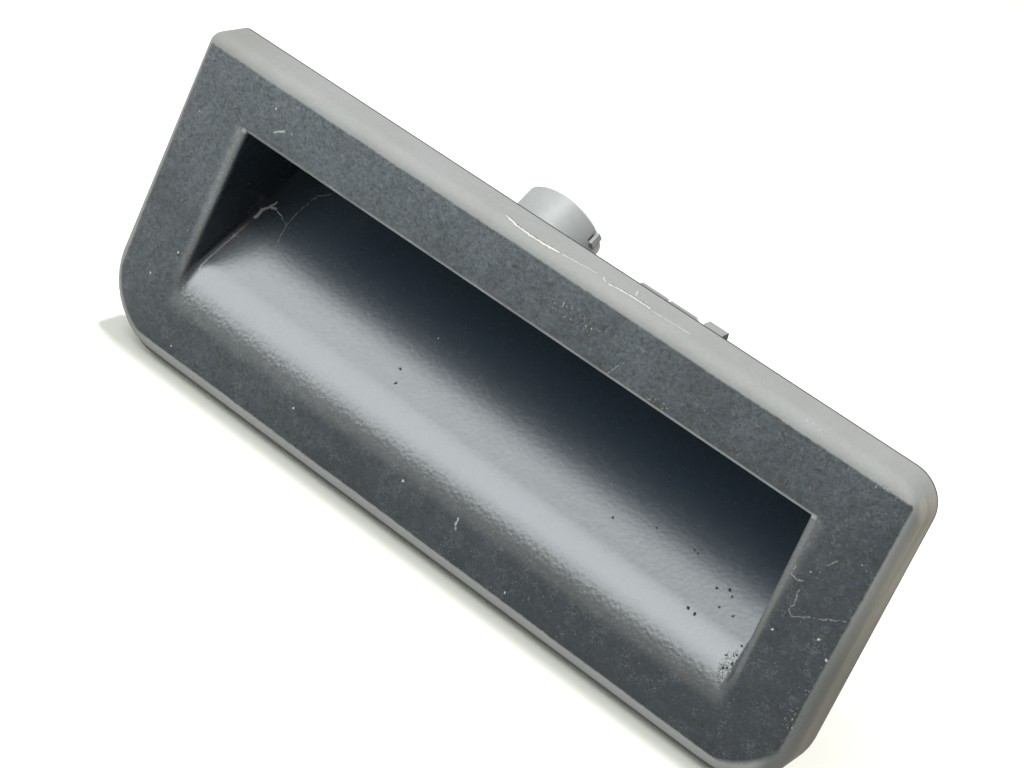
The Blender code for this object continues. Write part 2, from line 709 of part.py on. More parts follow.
def release_paddle():
    """The paddle's plate under the lip, its two hinged arms and the actuator arm."""
    bm = bmesh.new()
    half = 0.5 * PADDLE_THICKNESS
    plate = band(PADDLE_FRONT, PADDLE_BACK, half, half)
    add_prism(bm, plate, "X", -HALF_PADDLE, HALF_PADDLE)
    paddle = make_object("release_paddle", bm, CHARCOAL, HINGE)
    bm = bmesh.new()
    start = PADDLE_BACK - PAD_MARGIN + GAP
    for side in mirrored(ARM_X):
        arm = arm_outline(start, ARM_TAIL, ARM_THICKNESS)
        add_prism(bm, arm, "X", side - 0.5 * ARM_WIDTH, side + 0.5 * ARM_WIDTH)
    arm = arm_outline(start, ACTUATOR_TAIL, ACTUATOR_THICKNESS)
    half = 0.5 * ACTUATOR_WIDTH
    add_prism(bm, arm, "X", ACTUATOR_X - half, ACTUATOR_X + half)
    join(paddle, bm, "join_arms")
    bm = bmesh.new()
    for side in mirrored(ARM_X):
        base = along((1, 0, 0), (side - 0.5 * HUB_WIDTH, HINGE_Y, HINGE_Z))
        profile = [(0.0, 0.0), (HUB_RADIUS, 0.0), (HUB_RADIUS, HUB_WIDTH), (0.0, HUB_WIDTH)]
        add_turned(bm, profile, base, ROUND_SMALL)
    join(paddle, bm, "join_hubs")
    bm = bmesh.new()
    for side in mirrored(ARM_X):
        base = along((1, 0, 0), (side - ARM_WIDTH, HINGE_Y, HINGE_Z))
        radius = PIN_RADIUS + PIN_CLEARANCE
        profile = [(0.0, 0.0), (radius, 0.0), (radius, 2.0 * ARM_WIDTH), (0.0, 2.0 * ARM_WIDTH)]
        add_turned(bm, profile, base, ROUND_SMALL)
    cut(paddle, bm, "cut_hub_bores")


def paddle_pad():
    """The soft ribbed pad that the fingertips press, under the paddle's plate."""
    start = PADDLE_FRONT + PAD_MARGIN
    end = PADDLE_BACK - PAD_MARGIN
    drop = 0.5 * PADDLE_THICKNESS + GAP
    top = [(y, arm_middle(y) - drop) for y in (end, start)]
    bottom = []
    pitch = (end - start) / PAD_RIBS
    for i in range(PAD_RIBS):
        for part, depth in ((0.0, PAD_GROOVE), (PAD_LAND[0], 1.0), (PAD_LAND[1], 1.0)):
            y = start + (i + part) * pitch
            bottom.append((y, arm_middle(y) - drop - depth * PAD_THICKNESS))
    bottom.append((end, arm_middle(end) - drop - PAD_GROOVE * PAD_THICKNESS))
    half = HALF_PADDLE - PAD_MARGIN
    bm = bmesh.new()
    add_prism(bm, top + bottom, "X", -half, half)
    make_object("paddle_pad", bm, RUBBER, HINGE)


def hinge_pins():
    """Headed pins through the ears and the paddle's hubs."""
    reach = 0.5 * ARM_WIDTH + EAR_GAP + EAR_THICKNESS
    for name, side in (("hinge_pin_left", -1.0), ("hinge_pin_right", 1.0)):
        bm = bmesh.new()
        length = 2.0 * (reach + GAP)
        profile = [(0.0, 0.0), (PIN_RADIUS - PIN_CHAMFER, 0.0), (PIN_RADIUS, PIN_CHAMFER)]
        profile += [(PIN_RADIUS, length), (PIN_HEAD_RADIUS, length)]
        profile += [(PIN_HEAD_RADIUS, length + PIN_HEAD_LENGTH), (0.0, length + PIN_HEAD_LENGTH)]
        start = side * (ARM_X - reach - GAP)
        add_turned(bm, profile, along((side, 0, 0), (start, HINGE_Y, HINGE_Z)), ROUND_SMALL)
        make_object(name, bm, STEEL, (side * ARM_X, HINGE_Y, HINGE_Z))


def return_springs():
    """Coil springs between the shelves and the arms' tails."""
    y = HINGE_Y + SPRING_LEVER
    low = SHELF_Z + GAP + SPRING_WIRE
    high = tail_underside(SPRING_LEVER, ARM_THICKNESS) - SPRING_RADIUS * TAIL_SLOPE - GAP - SPRING_WIRE
    steps = SPRING_TURNS * SPRING_STEPS
    for name, side in (("return_spring_left", -ARM_X), ("return_spring_right", ARM_X)):
        curve = bpy.data.curves.new(name, "CURVE")
        curve.dimensions = "3D"
        curve.bevel_depth = SPRING_WIRE
        curve.bevel_resolution = 1
        curve.use_fill_caps = True
        path = curve.splines.new("POLY")
        path.points.add(steps)
        for i, point in enumerate(path.points):
            share = i / steps
            turn = 2.0 * math.pi * SPRING_TURNS * share
            rise = high - low
            spread = (SPRING_RADIUS * math.cos(turn), SPRING_RADIUS * math.sin(turn))
            point.co = (spread[0], spread[1], rise * share, 1.0)
        made = bpy.data.objects.new(name, curve)
        made.location = (side, y, low)
        bpy.context.scene.collection.objects.link(made)
        curve.materials.append(material(name, STEEL))


def stop_buffers():
    """Rubber blocks in the windows' sills, where the hinged arms rest."""
    for name, side in (("stop_buffer_left", -ARM_X), ("stop_buffer_right", ARM_X)):
        y = HINGE_Y - BUFFER_LEVER
        start, end = y - 0.5 * BUFFER_LENGTH, y + 0.5 * BUFFER_LENGTH
        top = 0.5 * ARM_THICKNESS + GAP
        outline = band(start, end, top + BUFFER_HEIGHT, -top)
        bm = bmesh.new()
        add_prism(bm, outline, "X", side - 0.5 * BUFFER_WIDTH, side + 0.5 * BUFFER_WIDTH)
        make_object(name, bm, RUBBER, (side, y, arm_middle(y) - top))


def shroud_frame(depth):
    """A frame on the connector's axis, the given depth below the shroud's rim."""
    tilt = math.radians(SHROUD_TILT)
    axis = Vector((0.0, math.cos(tilt), math.sin(tilt)))
    rim = Vector((SHROUD_X, SHROUD_RIM_Y, SHROUD_RIM_Z))
    return along(axis, rim - axis * depth)


def add_block(bm, turn, radius, thickness, width, span):
    """A block in the shroud's wall: turned about its axis, from one depth below the rim to another."""
    frame = shroud_frame(0.0) @ Matrix.Rotation(math.radians(180.0 - turn), 4, "Z")
    half = 0.5 * thickness
    rings = []
    for depth in span:
        corners = [(radius - half, -0.5 * width), (radius + half, -0.5 * width)]
        corners += [(radius + half, 0.5 * width), (radius - half, 0.5 * width)]
        rings.append([frame @ Vector((x, y, -depth)) for x, y in corners])
    add_loft(bm, rings)


def rounded_box_outline(low, high, radius, steps=4):
    points = arc((high[0] - radius, high[1] - radius), radius, 0, 90, steps)
    points += arc((low[0] + radius, high[1] - radius), radius, 90, 180, steps)
    points += arc((low[0] + radius, low[1] + radius), radius, 180, 270, steps)
    points += arc((high[0] - radius, low[1] + radius), radius, 270, 360, steps)
    return points


def module_outline(inset):
    low = (MODULE_LEFT + inset, MODULE_BOTTOM + inset)
    high = (MODULE_RIGHT - inset, MODULE_TOP - inset)
    return rounded_box_outline(low, high, max(MODULE_CORNER - inset, CORNER_LEAST))


def switch_module():
    """The module's moulding: a box open at the back, two screw ears and the shroud."""
    bm = bmesh.new()
    add_prism(bm, module_outline(0.0), "Y", MODULE_FRONT, MODULE_BACK)
    module = make_object("module_housing", bm, MODULE_GREY)
    bm = bmesh.new()
    for x in PILLAR_X:
        half = PILLAR_RADIUS
        foot = MODULE_BOTTOM + 0.5 * MODULE_WALL
        outline = [(x + half, foot), (x - half, foot)] + arc((x, PILLAR_Z), half, 180, 360, 10)
        add_prism(bm, outline, "Y", MODULE_FRONT, MODULE_FRONT + EAR_PLATE)
    join(module, bm, "join_screw_ears")
    bm = bmesh.new()
    inside = module_outline(MODULE_WALL)
    add_prism(bm, inside, "Y", MODULE_FRONT + MODULE_WALL, MODULE_BACK + CUTTER_OVERRUN)
    cut(module, bm, "cut_module_inside")
    cradle_ribs(module)
    bm = bmesh.new()
    for x in PILLAR_X:
        base = along((0, 1, 0), (x, MODULE_FRONT - CUTTER_OVERRUN, PILLAR_Z))
        add_rod(bm, base, SCREW_RADIUS + SCREW_CLEARANCE, EAR_PLATE + 2.0 * CUTTER_OVERRUN, ROUND_SMALL)
    cut(module, bm, "cut_screw_holes")
    bm = bmesh.new()
    base = along((0, 0, 1), (ACTUATOR_X, PLUNGER_Y, MODULE_TOP - 2.0 * MODULE_WALL))
    add_rod(bm, base, PLUNGER_RADIUS + PLUNGER_CLEARANCE, 4.0 * MODULE_WALL, ROUND_SMALL)
    cut(module, bm, "cut_plunger_hole")
    shroud(module)


def cradle_ribs(module):
    """Two ribs on the module's floor that the switch sits on."""
    bm = bmesh.new()
    foot = MODULE_BOTTOM + 0.5 * MODULE_WALL
    half = 0.5 * CRADLE_THICKNESS
    for x in (SWITCH_LEFT + CRADLE_INSET, SWITCH_RIGHT - CRADLE_INSET):
        low = (x - half, MODULE_FRONT + 0.5 * MODULE_WALL, foot)
        add_box(bm, low, (x + half, SWITCH_BACK, SWITCH_BOTTOM - GAP))
    join(module, bm, "join_cradle_ribs")


def shroud(module):
    """The round connector shroud, with its latch tab between two slots, and its key lug."""
    bm = bmesh.new()
    profile = [(0.0, 0.0), (SHROUD_RADIUS, 0.0), (SHROUD_RADIUS, SHROUD_LENGTH - SHROUD_CHAMFER)]
    profile += [(SHROUD_RADIUS - SHROUD_CHAMFER, SHROUD_LENGTH), (0.0, SHROUD_LENGTH)]
    add_turned(bm, profile, shroud_frame(SHROUD_LENGTH))
    join(module, bm, "join_shroud")
    bm = bmesh.new()
    radius = SHROUD_RADIUS - SHROUD_WALL
    add_rod(bm, shroud_frame(SHROUD_DEPTH), radius, SHROUD_DEPTH + CUTTER_OVERRUN, ROUND)
    cut(module, bm, "cut_shroud_socket")
    bm = bmesh.new()
    outline = offset_path(pocket_outside(), WALL_CLEARANCE)
    outline += [(FRONT, POCKET_CEILING), (FRONT, OPENING_BOTTOM)]
    add_prism(bm, outline, "X", MODULE_LEFT - CUTTER_OVERRUN, MODULE_RIGHT + CUTTER_OVERRUN)
    cut(module, bm, "cut_pocket_clearance", "MANIFOLD")
    bm = bmesh.new()
    middle = SHROUD_RADIUS - 0.5 * SHROUD_WALL
    add_block(bm, LATCH_TURN, middle, SHROUD_WALL + 2.0 * LATCH_RISE, LATCH_WIDTH, LATCH_SPAN)
    add_block(bm, LUG_TURN, middle, SHROUD_WALL + 2.0 * LUG_RISE, LUG_WIDTH, LUG_SPAN)
    join(module, bm, "join_latch_and_lug", "MANIFOLD")
    bm = bmesh.new()
    for side in mirrored(0.5 * (LATCH_WIDTH + LATCH_SLOT)):
        turn = LATCH_TURN + math.degrees(side / middle)
        add_block(bm, turn, middle, 3.0 * SHROUD_WALL, LATCH_SLOT, (-SHROUD_WALL, LATCH_SPAN[1]))
    for x in (SIGNAL_X, COMMON_X):
        base = shroud_frame(TERMINAL_BEND) @ Matrix.Translation((SHROUD_X - x, -TERMINAL_DROP, 0.0))
        add_rod(bm, base, TERMINAL_RADIUS + GAP, TERMINAL_BEND - 0.5 * SHROUD_DEPTH, 12)
    cut(module, bm, "cut_slots_and_pin_holes", "MANIFOLD")


def module_lid():
    """The lid that closes the module's back, with a lip inside the seal."""
    bm = bmesh.new()
    add_prism(bm, module_outline(0.0), "Y", MODULE_BACK + GAP, MODULE_BACK + GAP + LID_THICKNESS)
    lid = make_object("module_lid", bm, MODULE_GREY)
    bm = bmesh.new()
    inset = MODULE_WALL + 2.0 * GAP + LID_SEAL
    start = MODULE_BACK - LID_LIP
    lip = module_outline(inset)
    add_ring_prism(bm, lip, module_outline(inset + LID_RIB), start, MODULE_BACK + GAP + 0.5 * LID_THICKNESS)
    join(lid, bm, "join_lid_lip")
    bm = bmesh.new()
    seal = module_outline(MODULE_WALL + GAP)
    inner = module_outline(MODULE_WALL + GAP + LID_SEAL)
    add_ring_prism(bm, seal, inner, start, MODULE_BACK)
    make_object("lid_seal", bm, SILICONE)


def switch():
    """The sealed microswitch: an open case, its cover, the plunger and the contact blade."""
    bm = bmesh.new()
    add_box(bm, (SWITCH_LEFT, SWITCH_FRONT, SWITCH_BOTTOM), (SWITCH_RIGHT, SWITCH_BACK, SWITCH_TOP))
    case = make_object("switch_case", bm, CASE_BLACK)
    bm = bmesh.new()
    low = (SWITCH_LEFT + SWITCH_WALL, SWITCH_FRONT + SWITCH_WALL, SWITCH_BOTTOM + SWITCH_WALL)
    high = (SWITCH_RIGHT - SWITCH_WALL, SWITCH_BACK + CUTTER_OVERRUN, SWITCH_TOP - SWITCH_WALL)
    add_box(bm, low, high)
    cut(case, bm, "cut_case_inside")
    bm = bmesh.new()
    base = along((0, 0, 1), (ACTUATOR_X, PLUNGER_Y, SWITCH_TOP - 2.0 * SWITCH_WALL))
    add_rod(bm, base, PLUNGER_RADIUS + PLUNGER_CLEARANCE, 4.0 * SWITCH_WALL, ROUND_SMALL)
    for x, z in (SIGNAL_ENTRY, COMMON_ENTRY):
        base = along((0, 1, 0), (x, SWITCH_FRONT - CUTTER_OVERRUN, z))
        add_rod(bm, base, TERMINAL_RADIUS + GAP, CUTTER_OVERRUN + 2.0 * SWITCH_WALL, 12)
    cut(case, bm, "cut_case_holes")
    bm = bmesh.new()
    start = SWITCH_BACK + GAP
    low = (SWITCH_LEFT, start, SWITCH_BOTTOM)
    add_box(bm, low, (SWITCH_RIGHT, start + COVER_THICKNESS, SWITCH_TOP))
    make_object("switch_cover", bm, CASE_BLACK)

    collar = SWITCH_TOP - SWITCH_WALL - GAP
    bottom = collar - COLLAR_HEIGHT
    profile = [(0.0, 0.0), (COLLAR_RADIUS, 0.0), (COLLAR_RADIUS, COLLAR_HEIGHT)]
    profile += [(PLUNGER_RADIUS, COLLAR_HEIGHT), (PLUNGER_RADIUS, PLUNGER_TOP - bottom - PLUNGER_CHAMFER)]
    profile += [(PLUNGER_RADIUS - PLUNGER_CHAMFER, PLUNGER_TOP - bottom), (0.0, PLUNGER_TOP - bottom)]
    bm = bmesh.new()
    add_turned(bm, profile, along((0, 0, 1), (ACTUATOR_X, PLUNGER_Y, bottom)), ROUND_SMALL)
    make_object("switch_plunger", bm, NYLON, (ACTUATOR_X, PLUNGER_Y, bottom))

    top = bottom - GAP
    pivot = (ACTUATOR_X + BLADE_LEVER, PLUNGER_Y, top - 0.5 * BLADE_THICKNESS)
    half = 0.5 * BLADE_WIDTH
    low = (ACTUATOR_X - BLADE_REACH, PLUNGER_Y - half, top - BLADE_THICKNESS)
    bm = bmesh.new()
    add_box(bm, low, (pivot[0] + BLADE_HEEL, PLUNGER_Y + half, top))
    make_object("switch_blade", bm, BRASS, pivot)


def switch_boot():
    """The rubber dome that seals the plunger's hole in the module's roof."""
    base = MODULE_TOP + GAP
    height = BOOT_TOP - base
    outer = [(BOOT_FLANGE, 0.0), (BOOT_FLANGE, BOOT_WALL), (BOOT_RADIUS, BOOT_WALL)]
    outer += [(BOOT_RADIUS, height - BOOT_SHOULDER[1]), (BOOT_RADIUS - BOOT_SHOULDER[0], height)]
    outer += [(0.0, height)]
    hollow = BOOT_RADIUS - BOOT_WALL
    inner = [(0.0, height - BOOT_WALL), (hollow - BOOT_FILLET, height - BOOT_WALL)]
    inner += [(hollow, height - BOOT_WALL - BOOT_FILLET), (hollow, 0.0)]
    bm = bmesh.new()
    frame = along((0, 0, 1), (ACTUATOR_X, PLUNGER_Y, base))
    add_turned(bm, outer + inner, frame, ROUND_SMALL)
    make_object("switch_boot", bm, SILICONE, (ACTUATOR_X, PLUNGER_Y, base))


def terminals():
    """The two terminals, from the socket's pins down to the switch's contacts."""
    proud = SHROUD_DEPTH - TERMINAL_PROUD
    for name, x, entry, run_y in (("terminal_signal", SIGNAL_X, SIGNAL_ENTRY, SIGNAL_RUN_Y),
                                  ("terminal_common", COMMON_X, COMMON_ENTRY, COMMON_RUN_Y)):
        spot = (SHROUD_X - x, -TERMINAL_DROP, 0.0)
        path = [shroud_frame(proud) @ Vector(spot), shroud_frame(TERMINAL_BEND) @ Vector(spot)]
        path += [Vector((x, run_y, entry[1])), Vector((entry[0], run_y, entry[1]))]
        path += [Vector((entry[0], PLUNGER_Y - BLADE_HEEL, entry[1]))]
        curve = bpy.data.curves.new(name, "CURVE")
        curve.dimensions = "3D"
        curve.bevel_depth = TERMINAL_RADIUS
        curve.bevel_resolution = 1
        curve.use_fill_caps = True
        line = curve.splines.new("POLY")
        line.points.add(len(path) - 1)
        for point, place in zip(line.points, path):
            point.co = (*place, 1.0)
        made = bpy.data.objects.new(name, curve)
        bpy.context.scene.collection.objects.link(made)
        curve.materials.append(material(name, BRASS))


def module_screws():
    """The two pan-head screws that hold the module to its pillars."""
    for name, x in (("module_screw_left", PILLAR_X[0]), ("module_screw_right", PILLAR_X[1])):
        seat = MODULE_FRONT + EAR_PLATE + GAP
        profile = [(0.0, -SCREW_LENGTH), (SCREW_TIP[0], -SCREW_LENGTH)]
        profile += [(SCREW_RADIUS, SCREW_TIP[1] - SCREW_LENGTH), (SCREW_RADIUS, 0.0)]
        profile += [(SCREW_HEAD_RADIUS, 0.0), (SCREW_HEAD_RADIUS, SCREW_CROWN[1])]
        profile += [(SCREW_CROWN[0], SCREW_HEAD_HEIGHT), (0.0, SCREW_HEAD_HEIGHT)]
        bm = bmesh.new()
        add_turned(bm, profile, along((0, 1, 0), (x, seat, PILLAR_Z)), ROUND_SMALL)
        screw = make_object(name, bm, STEEL, (x, seat, PILLAR_Z))
        bm = bmesh.new()
        base = along((0, 1, 0), (x, seat + SCREW_SOCKET_FLOOR, PILLAR_Z))
        add_rod(bm, base, SCREW_SOCKET, SCREW_HEAD_HEIGHT, 6)
        cut(screw, bm, "cut_" + name)


def clip_outline(foot, direction, peak):
    """A folded leaf in Y and Z: a flat base, a fold at the front and a bent, sprung finger."""
    tip = CLIP_START + CLIP_LENGTH
    path = [(tip, 0.0), (CLIP_START + CLIP_FOLD, 0.0), (CLIP_START, CLIP_FOLD)]
    path += [(CLIP_START, CLIP_SHANK)] + [(CLIP_START + crest, peak) for crest in CLIP_CREST]
    path += [(tip - CLIP_TOE, CLIP_TOE_RISE[0] * peak), (tip, CLIP_TOE_RISE[1] * peak)]
    inner = offset_path(path, CLIP_THICKNESS)
    return [(y, foot + direction * z) for y, z in path + inner[::-1]]


def retaining_clips():
    """Steel leaf clips that snap behind the panel's edge, at the top and the bottom."""
    foot = POCKET_CEILING + POCKET_WALL + GAP
    outline = clip_outline(foot, 1.0, CLIP_PEAK)
    half = 0.5 * TOP_CLIP_WIDTH
    bm = bmesh.new()
    add_prism(bm, outline, "X", TOP_CLIP_X - half, TOP_CLIP_X + half)
    clip = make_object("retaining_clip_top", bm, STEEL)
    bm = bmesh.new()
    slit = 0.5 * CLIP_SLIT
    low = (TOP_CLIP_X - slit, CLIP_START - CUTTER_OVERRUN, foot + CLIP_THICKNESS + 0.5 * GAP)
    high = (TOP_CLIP_X + slit, CLIP_START + CLIP_LENGTH + CUTTER_OVERRUN, foot + 2.0 * CLIP_PEAK)
    add_box(bm, low, high)
    cut(clip, bm, "cut_clip_slit")
    foot = RAIL_INSET - 0.5 * BEZEL_HEIGHT + TOWER_SETBACK - GAP
    outline = clip_outline(foot, -1.0, CLIP_PEAK_BOTTOM)
    half = 0.5 * BOTTOM_CLIP_WIDTH
    for name, x in (("retaining_clip_bottom_left", -BOTTOM_CLIP_X),
                    ("retaining_clip_bottom_right", BOTTOM_CLIP_X)):
        bm = bmesh.new()
        add_prism(bm, outline, "X", x - half, x + half)
        make_object(name, bm, STEEL)


def build():
    clear_scene()
    handle_housing()
    panel_seal()
    release_paddle()
    paddle_pad()
    hinge_pins()
    return_springs()
    stop_buffers()
    switch_module()
    module_lid()
    switch()
    switch_boot()
    terminals()
    module_screws()
    retaining_clips()


build()
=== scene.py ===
"""Looks of the tailgate handle: weathered bezel, finger pocket, paddle and switch module.

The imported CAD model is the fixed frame. This script gives every node a procedural finish,
stands smoothly shaded copies in for the moulded and turned pieces, and sets up the floor,
the soft light and the camera of the photograph.
"""

from __future__ import annotations

import json
import logging
import math
from dataclasses import dataclass, field
from enum import Enum
from typing import Union

import bpy
from mathutils import Matrix, Vector
from mathutils.bvhtree import BVHTree

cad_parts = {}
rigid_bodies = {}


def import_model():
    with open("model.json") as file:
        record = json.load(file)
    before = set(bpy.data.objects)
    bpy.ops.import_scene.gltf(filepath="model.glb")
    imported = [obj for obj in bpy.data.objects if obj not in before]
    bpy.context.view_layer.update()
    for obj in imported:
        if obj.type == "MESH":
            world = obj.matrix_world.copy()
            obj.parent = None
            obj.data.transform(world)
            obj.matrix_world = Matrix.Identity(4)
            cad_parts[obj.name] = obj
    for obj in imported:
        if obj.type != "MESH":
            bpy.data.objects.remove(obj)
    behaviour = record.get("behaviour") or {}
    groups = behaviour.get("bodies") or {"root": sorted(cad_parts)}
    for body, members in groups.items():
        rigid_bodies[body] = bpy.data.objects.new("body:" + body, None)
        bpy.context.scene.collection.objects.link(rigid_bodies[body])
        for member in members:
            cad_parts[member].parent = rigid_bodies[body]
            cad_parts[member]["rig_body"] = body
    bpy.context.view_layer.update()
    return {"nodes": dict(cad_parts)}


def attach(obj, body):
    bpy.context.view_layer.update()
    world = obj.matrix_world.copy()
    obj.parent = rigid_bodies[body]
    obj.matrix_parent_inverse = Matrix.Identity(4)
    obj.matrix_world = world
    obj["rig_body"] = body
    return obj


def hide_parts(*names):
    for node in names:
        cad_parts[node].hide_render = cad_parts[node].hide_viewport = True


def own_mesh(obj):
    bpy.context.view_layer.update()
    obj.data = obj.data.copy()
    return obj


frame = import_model()

LOG = logging.getLogger("tailgate_handle")
MM = 0.001
FRAME_WIDTH = 1024.0
Colour = tuple[float, float, float]
Point = tuple[float, float, float]
Limits = tuple[float, float]
Trail = tuple[Point, ...]
Socket = bpy.types.NodeSocket
Value = Union[Socket, float, Point]


class Spread(Enum):
    """How a mark is drawn round its line."""

    CRISP = 0.25
    SOFT = 0.6


class Graph:
    """A procedural material and the short calls that build its node tree."""

    MEASURES = ("LENGTH", "DOT_PRODUCT", "DISTANCE")
    EDGE_SAMPLES = 6
    SHORTEST = 1e-6
    PATCH_CORE = 0.45
    RAG_SCALE = 1.4
    RAG_DETAIL = 3.0
    RAG_SHIFT = 0.7

    def __init__(self, name: str) -> None:
        """Start an empty material.

        Args:
            name: The material's name.
        """
        self.material = bpy.data.materials.new(name)
        self.material.use_nodes = True
        self.tree = self.material.node_tree
        self.tree.nodes.clear()
        self._place: Socket | None = None
        self._ragged: Socket | None = None

    def feed(self, socket: Socket, value: Value | None) -> None:
        """Link a socket to another one, or set its value.

        Args:
            socket: The input to fill.
            value: Another socket, a number, a colour or a vector; None leaves it.
        """
        if value is None:
            return
        if isinstance(value, Socket):
            self.tree.links.new(value, socket)
        elif isinstance(value, tuple) and socket.type == "RGBA":
            socket.default_value = (*value[:3], 1.0)
        else:
            socket.default_value = value

    def math(
        self, operation: str, first: Value, second: Value | None = None, third: Value | None = None
    ) -> Socket:
        """One Math node.

        Args:
            operation: Its operation.
            first: First value.
            second: Second value, if it takes one.
            third: Third value, if it takes one.

        Returns:
            Its output socket.
        """
        node = self.tree.nodes.new("ShaderNodeMath")
        node.operation = operation
        for socket, value in zip(node.inputs, (first, second, third)):
            self.feed(socket, value)
        return node.outputs[0]

    def vector(
        self, operation: str, first: Value, second: Value | None = None, scale: Value | None = None
    ) -> Socket:
        """One Vector Math node.

        Args:
            operation: Its operation.
            first: First vector.
            second: Second vector, if it takes one.
            scale: Factor of a scale operation.

        Returns:
            Its vector output, or its value output where that is the result.
        """
        node = self.tree.nodes.new("ShaderNodeVectorMath")
        node.operation = operation
        self.feed(node.inputs[0], first)
        self.feed(node.inputs[1], second)
        if scale is not None:
            self.feed(node.inputs["Scale"], scale)
        return node.outputs["Value" if operation in self.MEASURES else "Vector"]

    def place(self) -> Socket:
        """The point on the piece, in the frame of the CAD model.

        Returns:
            Its vector socket, in millimetres.
        """
        if self._place is None:
            coordinate = self.tree.nodes.new("ShaderNodeTexCoord")
            self._place = self.vector("SCALE", coordinate.outputs["Object"], scale=1.0 / MM)
        return self._place

    def axes(self) -> tuple[Socket, Socket, Socket]:
        """The point's x, y and z.

        Returns:
            Three sockets, in millimetres.
        """
        node = self.tree.nodes.new("ShaderNodeSeparateXYZ")
        self.feed(node.inputs[0], self.place())
        return node.outputs[0], node.outputs[1], node.outputs[2]

    def noise(
        self,
        size: float,
        detail: float = 3.0,
        rough: float = 0.5,
        stretch: Point = (1.0, 1.0, 1.0),
        twist: float = 0.0,
    ) -> Socket:
        """Fractal noise.

        Args:
            size: Size of its features in millimetres.
            detail: How many octaves.
            rough: How strong the finer octaves are.
            stretch: How far the features are drawn out along each axis.
            twist: How much the features swirl.

        Returns:
            The noise value socket.
        """
        node = self.tree.nodes.new("ShaderNodeTexNoise")
        point = self.vector("MULTIPLY", self.place(), tuple(1.0 / s for s in stretch))
        self.feed(node.inputs["Vector"], point)
        self.feed(node.inputs["Scale"], 1.0 / size)
        self.feed(node.inputs["Detail"], detail)
        self.feed(node.inputs["Roughness"], rough)
        self.feed(node.inputs["Distortion"], twist)
        return node.outputs["Fac"]

    def cells(self, size: float) -> Socket:
        """Distance to the nearest of scattered points.

        Args:
            size: Mean distance between the points in millimetres.

        Returns:
            The distance socket, where 1 is that mean distance.
        """
        node = self.tree.nodes.new("ShaderNodeTexVoronoi")
        self.feed(node.inputs["Vector"], self.place())
        self.feed(node.inputs["Scale"], 1.0 / size)
        return node.outputs["Distance"]

    def band(self, value: Value, low: float, high: float) -> Socket:
        """A smooth step.

        Args:
            value: What is measured.
            low: Where the step is 0; it may be above high.
            high: Where the step is 1.

        Returns:
            The step's socket, from 0 to 1.
        """
        node = self.tree.nodes.new("ShaderNodeMapRange")
        node.interpolation_type = "SMOOTHSTEP"
        for name, given in (("Value", value), ("From Min", low), ("From Max", high)):
            self.feed(node.inputs[name], given)
        if low > high:
            self.feed(node.inputs["From Min"], high)
            self.feed(node.inputs["From Max"], low)
            self.feed(node.inputs["To Min"], 1.0)
            self.feed(node.inputs["To Max"], 0.0)
        return node.outputs["Result"]

    def times(self, *values: Value) -> Value:
        """The product of several sockets or numbers.

        Args:
            values: What is multiplied.

        Returns:
            The product's socket.
        """
        product = values[0]
        for value in values[1:]:
            product = self.math("MULTIPLY", product, value)
        return product

    def most(self, *values: Value) -> Value:
        """The largest of several sockets or numbers.

        Args:
            values: What is compared.

        Returns:
            The largest one's socket.
        """
        largest = values[0]
        for value in values[1:]:
            largest = self.math("MAXIMUM", largest, value)
        return largest

    def mix(self, share: Value, first: Value, second: Value) -> Socket:
        """A colour mix.

        Args:
            share: How much of the second colour.
            first: Colour or socket.
            second: Colour or socket.

        Returns:
            The mixed colour's socket.
        """
        node = self.tree.nodes.new("ShaderNodeMix")
        node.data_type = "RGBA"
        self.feed(node.inputs["Factor"], share)
        self.feed(node.inputs[6], first)
        self.feed(node.inputs[7], second)
        return node.outputs[2]

    def blend(self, share: Value, first: Value, second: Value) -> Socket:
        """A mix of two numbers.

        Args:
            share: How much of the second number.
            first: Number or socket.
            second: Number or socket.

        Returns:
            The mixed number's socket.
        """
        node = self.tree.nodes.new("ShaderNodeMix")
        self.feed(node.inputs[0], share)
        self.feed(node.inputs[2], first)
        self.feed(node.inputs[3], second)
        return node.outputs[0]

    def bump(self, height: Value, depth: float, normal: Value | None = None) -> Socket:
        """A bumped normal.

        Args:
            height: Height from 0 to 1.
            depth: Depth in millimetres of a height of 1.
            normal: A normal to add the bump to.

        Returns:
            The normal's socket.
        """
        node = self.tree.nodes.new("ShaderNodeBump")
        self.feed(node.inputs["Distance"], depth * MM)
        self.feed(node.inputs["Height"], height)
        self.feed(node.inputs["Normal"], normal)
        return node.outputs[0]

    def worn_edge(self, radius: Value) -> Socket:
        """A normal that rounds the edges.

        Args:
            radius: The rounding in millimetres, a number or a socket.

        Returns:
            The normal's socket.
        """
        node = self.tree.nodes.new("ShaderNodeBevel")
        node.samples = self.EDGE_SAMPLES
        metres = self.times(radius, MM) if isinstance(radius, Socket) else radius * MM
        self.feed(node.inputs["Radius"], metres)
        return node.outputs[0]

    def streak(
        self, start: Point, end: Point, width: float, spread: Spread = Spread.SOFT
    ) -> Socket:
        """A straight mark between two points.

        Args:
            start: One end, in millimetres.
            end: The other end.
            width: Width of the mark.
            spread: How its rim fades.

        Returns:
            A socket that is 1 on the mark and 0 away from it.
        """
        way = Vector(end) - Vector(start)
        reach = max(way.length_squared, self.SHORTEST)
        offset = self.vector("SUBTRACT", self.ragged(), tuple(start))
        along = self.math("MULTIPLY", self.vector("DOT_PRODUCT", offset, tuple(way)), 1.0 / reach)
        along.node.use_clamp = True
        nearest = self.vector("SCALE", tuple(way), scale=along)
        gap = self.vector("DISTANCE", offset, nearest)
        half = 0.5 * width
        return self.band(gap, half * (1.0 + spread.value), half * (1.0 - spread.value))

